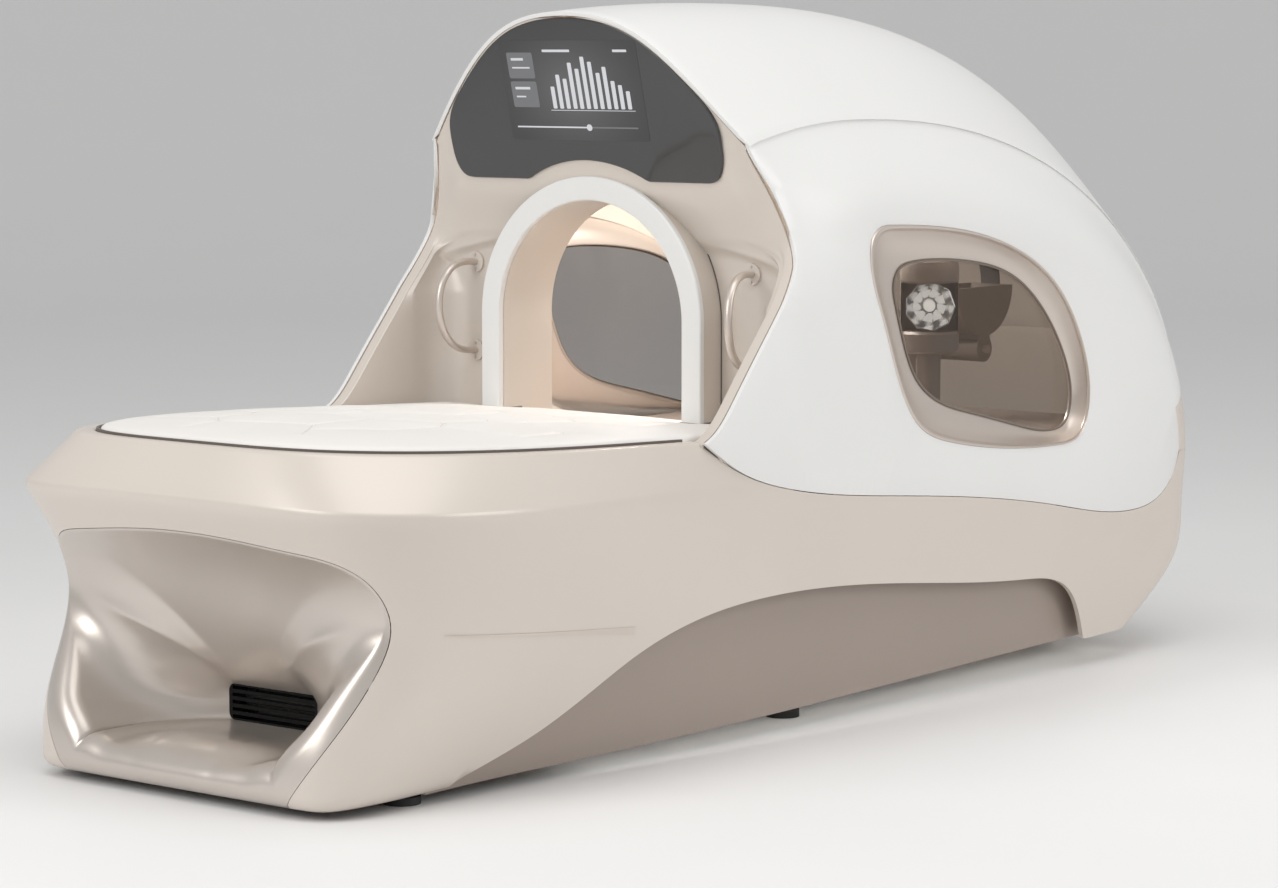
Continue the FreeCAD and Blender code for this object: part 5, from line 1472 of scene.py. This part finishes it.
def makeHandle(side, sign):
    line = openSpline(handle["path"], handle["steps"])
    bow = handle["y"] + handle["bow"] * np.sin(np.linspace(0, math.pi, handle["steps"]))
    path = np.column_stack([handle["wallX"] - line[:, 0], sign * bow, line[:, 1]])
    along = unit(np.gradient(path, axis=0))
    across = unit(np.cross(along, (0, 1.0, 0)))
    flat = np.cross(along, across)
    wide, thin = handle["radius"]
    rows = [path + across * (math.cos(a) * thin) + flat * (math.sin(a) * wide)
            for a in fullTurn(handle["turns"])]
    piece = sheetPiece("gripBar_" + side, rows + rows[:1])
    return dress(piece, champagneMetal, replaced=["handle_" + side], angle=60)


for side, sign in sides:
    makeHandle(side, sign)
print("handles made")


# Mattress: a crowned pad with irregular sewn lines, puffed between them by cloth pressure

pad = {
    "inset": 0.0353, "rear": -0.1725, "leg": (0.2260, 0.2790), "legFront": -0.2445, "low": -0.0155,
    "edge": 0.0015, "top": 0.0115, "crown": 0.016, "roll": 0.030, "crownReach": 0.42, "voxel": 0.010,
    "held": 0.012, "pressure": 3.2, "frames": 20, "tension": 12, "bending": 0.4, "cap": 0.0062,
    "cell": 0.128, "jitter": 0.034, "margin": 0.075, "sewn": 0.0095, "groove": 0.0030, "grooveWidth": 0.0105,
    "stitch": 0.0062, "stitchStep": 0.0098, "stitchSpan": 0.008, "thread": 0.00075, "seed": 7,
    "cellRows": (-8, 9), "cellColumns": (-14, 4), "heldLift": 0.6, "stitchEnds": (0.04, 0.96),
    "stitchNear": 6, "stitchProud": 0.35,
}


def padOutline():
    # closed plan outline with notches for the arch's legs
    half = rimPoints(pad["inset"])[:, :2]
    half = half[half[:, 0] < pad["rear"] - 0.002]
    near, far = pad["leg"]
    rear, front = pad["rear"], pad["legFront"]
    wide = half[-1, 1]
    corners = [(rear, wide), (rear, far), (front, far), (front, near), (rear, near)]
    side = np.vstack([half[1:], corners])
    return np.vstack([half[:1], side, (side * np.array([1, -1]))[::-1]])


def sewnLines(outline):
    # a honeycomb with its corners pushed about, kept away from the edge
    rng = random.Random(pad["seed"])
    size = pad["cell"]
    spots = {}
    for row in range(*pad["cellRows"]):
        for column in range(*pad["cellColumns"]):
            x = size * 1.5 * column
            y = size * math.sqrt(3) * (row + 0.5 * (column % 2))
            for turn in range(6):
                angle = math.radians(60 * turn)
                key = (round((x + size * math.cos(angle)) * 1000), round((y + size * math.sin(angle)) * 1000))
                near = [k for k in spots if abs(k[0] - key[0]) < 4 and abs(k[1] - key[1]) < 4]
                if not near:
                    spots[key] = None
    keys = sorted(spots)
    plain = np.array(keys) / 1000
    moved = plain + np.array([[rng.uniform(-1, 1), rng.uniform(-1, 1)] for key in keys]) * pad["jitter"]
    clear = edgeDistance(moved, outline)
    lines = []
    for i in range(len(keys)):
        for j in range(i + 1, len(keys)):
            apart = np.linalg.norm(plain[i] - plain[j])
            if apart < size * 1.1 and min(clear[i], clear[j]) > pad["margin"]:
                lines.append((moved[i], moved[j]))
    return lines


def edgeDistance(points, outline):
    # distance to the outline, negative outside it
    a, b = outline, np.roll(outline, -1, axis=0)
    along = b - a
    length = np.maximum((along ** 2).sum(axis=1), 1e-12)
    share = np.clip(((points[:, None, :] - a[None]) * along[None]).sum(axis=2) / length[None], 0, 1)
    nearest = a[None] + along[None] * share[..., None]
    gap = np.linalg.norm(points[:, None, :] - nearest, axis=2).min(axis=1)
    x, y = points[:, 0][:, None], points[:, 1][:, None]
    crosses = (a[:, 1] > y) != (b[:, 1] > y)
    rise = np.where(np.abs(along[:, 1]) < 1e-12, 1e-12, along[:, 1])
    inside = (crosses & (x < a[:, 0] + (y - a[:, 1]) * along[:, 0] / rise)).sum(axis=1) % 2 == 1
    return np.where(inside, gap, -gap)


def lineDistance(points, lines):
    best = np.full(len(points), 9.0)
    for a, b in lines:
        along = b - a
        share = np.clip(((points - a) @ along) / (along @ along), 0, 1)
        best = np.minimum(best, np.linalg.norm(points - a - share[:, None] * along, axis=1))
    return best


def meshPoints(mesh):
    points = np.empty(len(mesh.vertices) * 3)
    mesh.vertices.foreach_get("co", points)
    return points.reshape(-1, 3)


def setPoints(mesh, points):
    mesh.vertices.foreach_set("co", points.reshape(-1))
    mesh.update()


def padBlank(outline):
    # closed plain pad in plan, remeshed to even squares and then crowned
    count = len(outline)
    rings = [np.column_stack([outline, np.full(count, level)]) for level in (pad["low"], pad["top"])]
    faces = gridFaces(2, count, loop=True)
    faces += [tuple(range(count))[::-1], tuple(range(count, 2 * count))]
    piece = buildPiece("mattressPad", np.vstack(rings), faces)
    mod = piece.modifiers.new("even", "REMESH")
    mod.mode = "VOXEL"
    mod.voxel_size = pad["voxel"]
    applyModifiers(piece)
    points = meshPoints(piece.data)
    clear = np.maximum(edgeDistance(points[:, :2], outline), 0)
    lift = np.clip((points[:, 2] - pad["low"]) / (pad["top"] - pad["low"]), 0, 1)
    roll = np.sqrt(np.clip(1 - (1 - np.clip(clear / pad["roll"], 0, 1)) ** 2, 0, 1))
    dome = 1 - (1 - np.clip(clear / pad["crownReach"], 0, 1)) ** 2
    top = pad["edge"] + (pad["top"] - pad["edge"]) * roll + pad["crown"] * dome
    points[:, 2] = blendTo(pad["low"], top, lift) + rimHeight(points[:, 0])
    setPoints(piece.data, points)
    return piece, clear, lift


def puffPad(piece, clear, lift, lines):
    start = meshPoints(piece.data)
    sewn = lineDistance(start[:, :2], lines) < pad["sewn"]
    held = (lift < pad["heldLift"]) | (clear < pad["held"]) | sewn
    group = piece.vertex_groups.new(name="held")
    group.add([int(i) for i in np.nonzero(held)[0]], 1.0, "REPLACE")
    cloth = piece.modifiers.new("puff", "CLOTH")
    cloth.settings.vertex_group_mass = "held"
    cloth.settings.use_pressure = True
    cloth.settings.uniform_pressure_force = pad["pressure"]
    cloth.settings.tension_stiffness = pad["tension"]
    cloth.settings.bending_stiffness = pad["bending"]
    cloth.settings.effector_weights.gravity = 0
    cloth.point_cache.frame_start = 1
    cloth.point_cache.frame_end = pad["frames"]
    for frameNumber in range(1, pad["frames"] + 1):
        scene.frame_set(frameNumber)
    graph = bpy.context.evaluated_depsgraph_get()
    swollen = meshPoints(piece.evaluated_get(graph).to_mesh())
    piece.modifiers.clear()
    piece.vertex_groups.clear()
    scene.frame_set(1)
    move = swollen - start
    far = np.linalg.norm(move, axis=1)
    move *= np.where(far > pad["cap"], pad["cap"] / np.maximum(far, 1e-9), 1)[:, None]
    setPoints(piece.data, start + move)


def sewPad(piece, lines):
    mod = piece.modifiers.new("fine", "SUBSURF")
    mod.levels = mod.render_levels = 1
    applyModifiers(piece)
    points = meshPoints(piece.data)
    near = np.clip(lineDistance(points[:, :2], lines) / pad["grooveWidth"], 0, 1)
    onTop = points[:, 2] > rimHeight(points[:, 0])
    points[:, 2] -= np.where(onTop, pad["groove"] * (1 - near ** 2) ** 2, 0)
    setPoints(piece.data, points)


def stitchTree():
    # a group that sets beads of thread along edges, with the identifiers of its inputs
    tree = bpy.data.node_groups.new("stitchRun", "GeometryNodeTree")
    ids = {}
    for label, kind in (("Geometry", "Geometry"), ("Step", "Float"), ("Size", "Vector"),
                        ("Thread", "Material")):
        socket = tree.interface.new_socket(label, in_out="INPUT", socket_type="NodeSocket" + kind)
        ids[label] = socket.identifier
    tree.interface.new_socket("Geometry", in_out="OUTPUT", socket_type="NodeSocketGeometry")
    ins, outs = addNode(tree, "NodeGroupInput"), addNode(tree, "NodeGroupOutput")
    curve = addNode(tree, "GeometryNodeMeshToCurve")
    spots = addNode(tree, "GeometryNodeCurveToPoints", mode="LENGTH")
    bead = addNode(tree, "GeometryNodeMeshUVSphere", {"Segments": 8, "Rings": 5, "Radius": 1})
    put = addNode(tree, "GeometryNodeInstanceOnPoints")
    real = addNode(tree, "GeometryNodeRealizeInstances")
    paint = addNode(tree, "GeometryNodeSetMaterial")
    wire(tree, (ins, "Geometry", curve, "Mesh"), (curve, "Curve", spots, "Curve"),
         (ins, "Step", spots, "Length"), (spots, "Points", put, "Points"),
         (spots, "Rotation", put, "Rotation"), (bead, "Mesh", put, "Instance"),
         (ins, "Size", put, "Scale"), (put, "Instances", real, "Geometry"),
         (real, "Geometry", paint, "Geometry"), (ins, "Thread", paint, "Material"),
         (paint, "Geometry", outs, "Geometry"))
    return tree, ids


def makeStitches(piece, lines):
    points = meshPoints(piece.data)
    tops = points[points[:, 2] > rimHeight(points[:, 0])]
    verts, edges = [], []
    for a, b in lines:
        count = max(int(np.linalg.norm(b - a) / pad["stitchSpan"]), 3)
        for i, share in enumerate(np.linspace(*pad["stitchEnds"], count)):
            spot = blendTo(a, b, share)
            gap = ((tops[:, :2] - spot) ** 2).sum(axis=1)
            nearest = np.argsort(gap)[:pad["stitchNear"]]
            weight = 1 / (gap[nearest] + 1e-7)
            z = (tops[nearest, 2] * weight).sum() / weight.sum()
            if i:
                edges.append((len(verts) - 1, len(verts)))
            verts.append((spot[0], spot[1], z + pad["thread"] * pad["stitchProud"]))
    mesh = bpy.data.meshes.new("padStitches")
    mesh.from_pydata(verts, edges, [])
    threads = linkObject("padStitches", mesh)
    tree, ids = stitchTree()
    mod = threads.modifiers.new("stitches", "NODES")
    mod.node_group = tree
    mod[ids["Step"]] = pad["stitchStep"]
    mod[ids["Size"]] = (pad["thread"], pad["thread"], pad["stitch"] / 2)
    mod[ids["Thread"]] = threadWhite
    dress(threads, threadWhite, angle=60)


def makeMattress():
    outline = padOutline()
    lines = sewnLines(outline)
    piece, clear, lift = padBlank(outline)
    puffPad(piece, clear, lift, lines)
    sewPad(piece, lines)
    dress(piece, padLeather, replaced=["mattress"], angle=60)
    makeStitches(piece, lines)
    print("mattress made,", len(piece.data.polygons), "faces,", len(lines), "sewn lines")


makeMattress()

# Plain nodes keep their shape and get their finish, smooth where they are round

smoothNodes = ["handle_flanges", "flange_screws", "foot_cup_left", "foot_cup_right",
               "foot_strap_left", "foot_strap_right", "crank_arm_left", "crank_arm_right", "crank_axle",
               "crank_bearings", "drive_tower", "fan_rotor", "lock_nuts",
               "vacuum_blower", "skirt_left", "skirt_right", "mattress_piping"]
smoothNodes += [name for name in nodes if name.startswith("levelling_foot")]
ownFinish = {"handle_flanges": beigeLacquer, "flange_screws": champagneMetal}
for name in smoothNodes:
    smoothCopy(name, ownFinish.get(name, slotFinish[slotOf[name]]))
ownFinish["vent_grille"] = grilleBlack
for name, node in nodes.items():
    node.data.materials.clear()
    node.data.materials.append(ownFinish.get(name, slotFinish[slotOf[name]]))
print("plain nodes finished")

# Floor, light and camera

stageSet = {
    "floorRadius": 11.0, "bowlRadius": 5.0, "floorColor": (0.86, 0.86, 0.86), "world": 0.56, "turns": 96,
    # place, target, size, power, colour
    "lamps": (((-1.2, -1.2, 5.6), (0, 0, 0.6), 5.0, 135, (1.0, 0.985, 0.965)),
              ((-5.2, 1.2, 2.6), (-0.6, 0, 0.7), 2.4, 76, (1.0, 0.99, 0.975)),
              ((1.0, -5.5, 2.6), (0.3, 0, 0.7), 2.6, 74, (1.0, 0.99, 0.975)),
              ((0.42, 0.0, 1.12), (0.44, 0.0, 0.6), 0.36, 11, (1.0, 0.95, 0.89))),
    "camera": (-5.7993, -4.6293, 1.2881), "yaw": 39.0015, "pitch": 6.006, "focal": 3727, "width": 1278,
    "sensor": 36.0, "clipEnd": 100, "discHole": 0.02, "riseSteps": 14, "worldColor": (0.95, 0.95, 0.95, 1),
}


def makeFloor():
    # a level disc that sweeps up into a round wall, so that no horizon shows
    flat, bend = stageSet["floorRadius"], stageSet["bowlRadius"]
    profile = [(stageSet["discHole"], 0), (flat / 3, 0), (flat, 0)]
    rise = np.linspace(0, math.pi / 2, stageSet["riseSteps"])[1:]
    profile += [(flat + math.sin(a) * bend, bend - math.cos(a) * bend) for a in rise]
    turn = fullTurn(stageSet["turns"])
    ring = np.column_stack([np.cos(turn), np.sin(turn), np.zeros(len(turn))])
    rows = [ring * radius + np.array([0, 0, height]) for radius, height in profile]
    floor = sheetPiece("floor", rows, loop=True, caps=[tuple(range(stageSet["turns"]))])
    floor.data.materials.append(grained("floorPale", stageSet["floorColor"], 0.01, (0.5, 0.6),
                                        (0.02, 0.0005), fine))
    facePoint(floor, lambda c: (-c.x, -c.y, 4))
    shadeByAngle(floor)


def makeLights():
    for i, (place, target, size, power, color) in enumerate(stageSet["lamps"]):
        light = bpy.data.lights.new("softbox%d" % i, "AREA")
        light.shape = "SQUARE"
        light.size = size
        light.energy = power
        light.color = color
        softbox = linkObject("softbox%d" % i, light)
        softbox.location = place
        softbox.rotation_euler = (Vector(target) - Vector(place)).to_track_quat("-Z", "Y").to_euler()
    world = bpy.data.worlds.new("studio")
    world.use_nodes = True
    back = world.node_tree.nodes["Background"]
    setInputs(back, {"Color": stageSet["worldColor"], "Strength": stageSet["world"]})
    scene.world = world


def makeCamera():
    lens = bpy.data.cameras.new("photoCamera")
    lens.sensor_fit = "HORIZONTAL"
    lens.sensor_width = stageSet["sensor"]
    lens.lens = stageSet["focal"] / stageSet["width"] * stageSet["sensor"]
    lens.clip_end = stageSet["clipEnd"]
    camera = linkObject("photoCamera", lens)
    camera.location = stageSet["camera"]
    camera.rotation_euler = (math.radians(90 - stageSet["pitch"]), 0, math.radians(stageSet["yaw"] - 90))
    scene.camera = camera


makeFloor()
makeLights()
makeCamera()
scene.view_settings.view_transform = "Standard"
print("stage set")
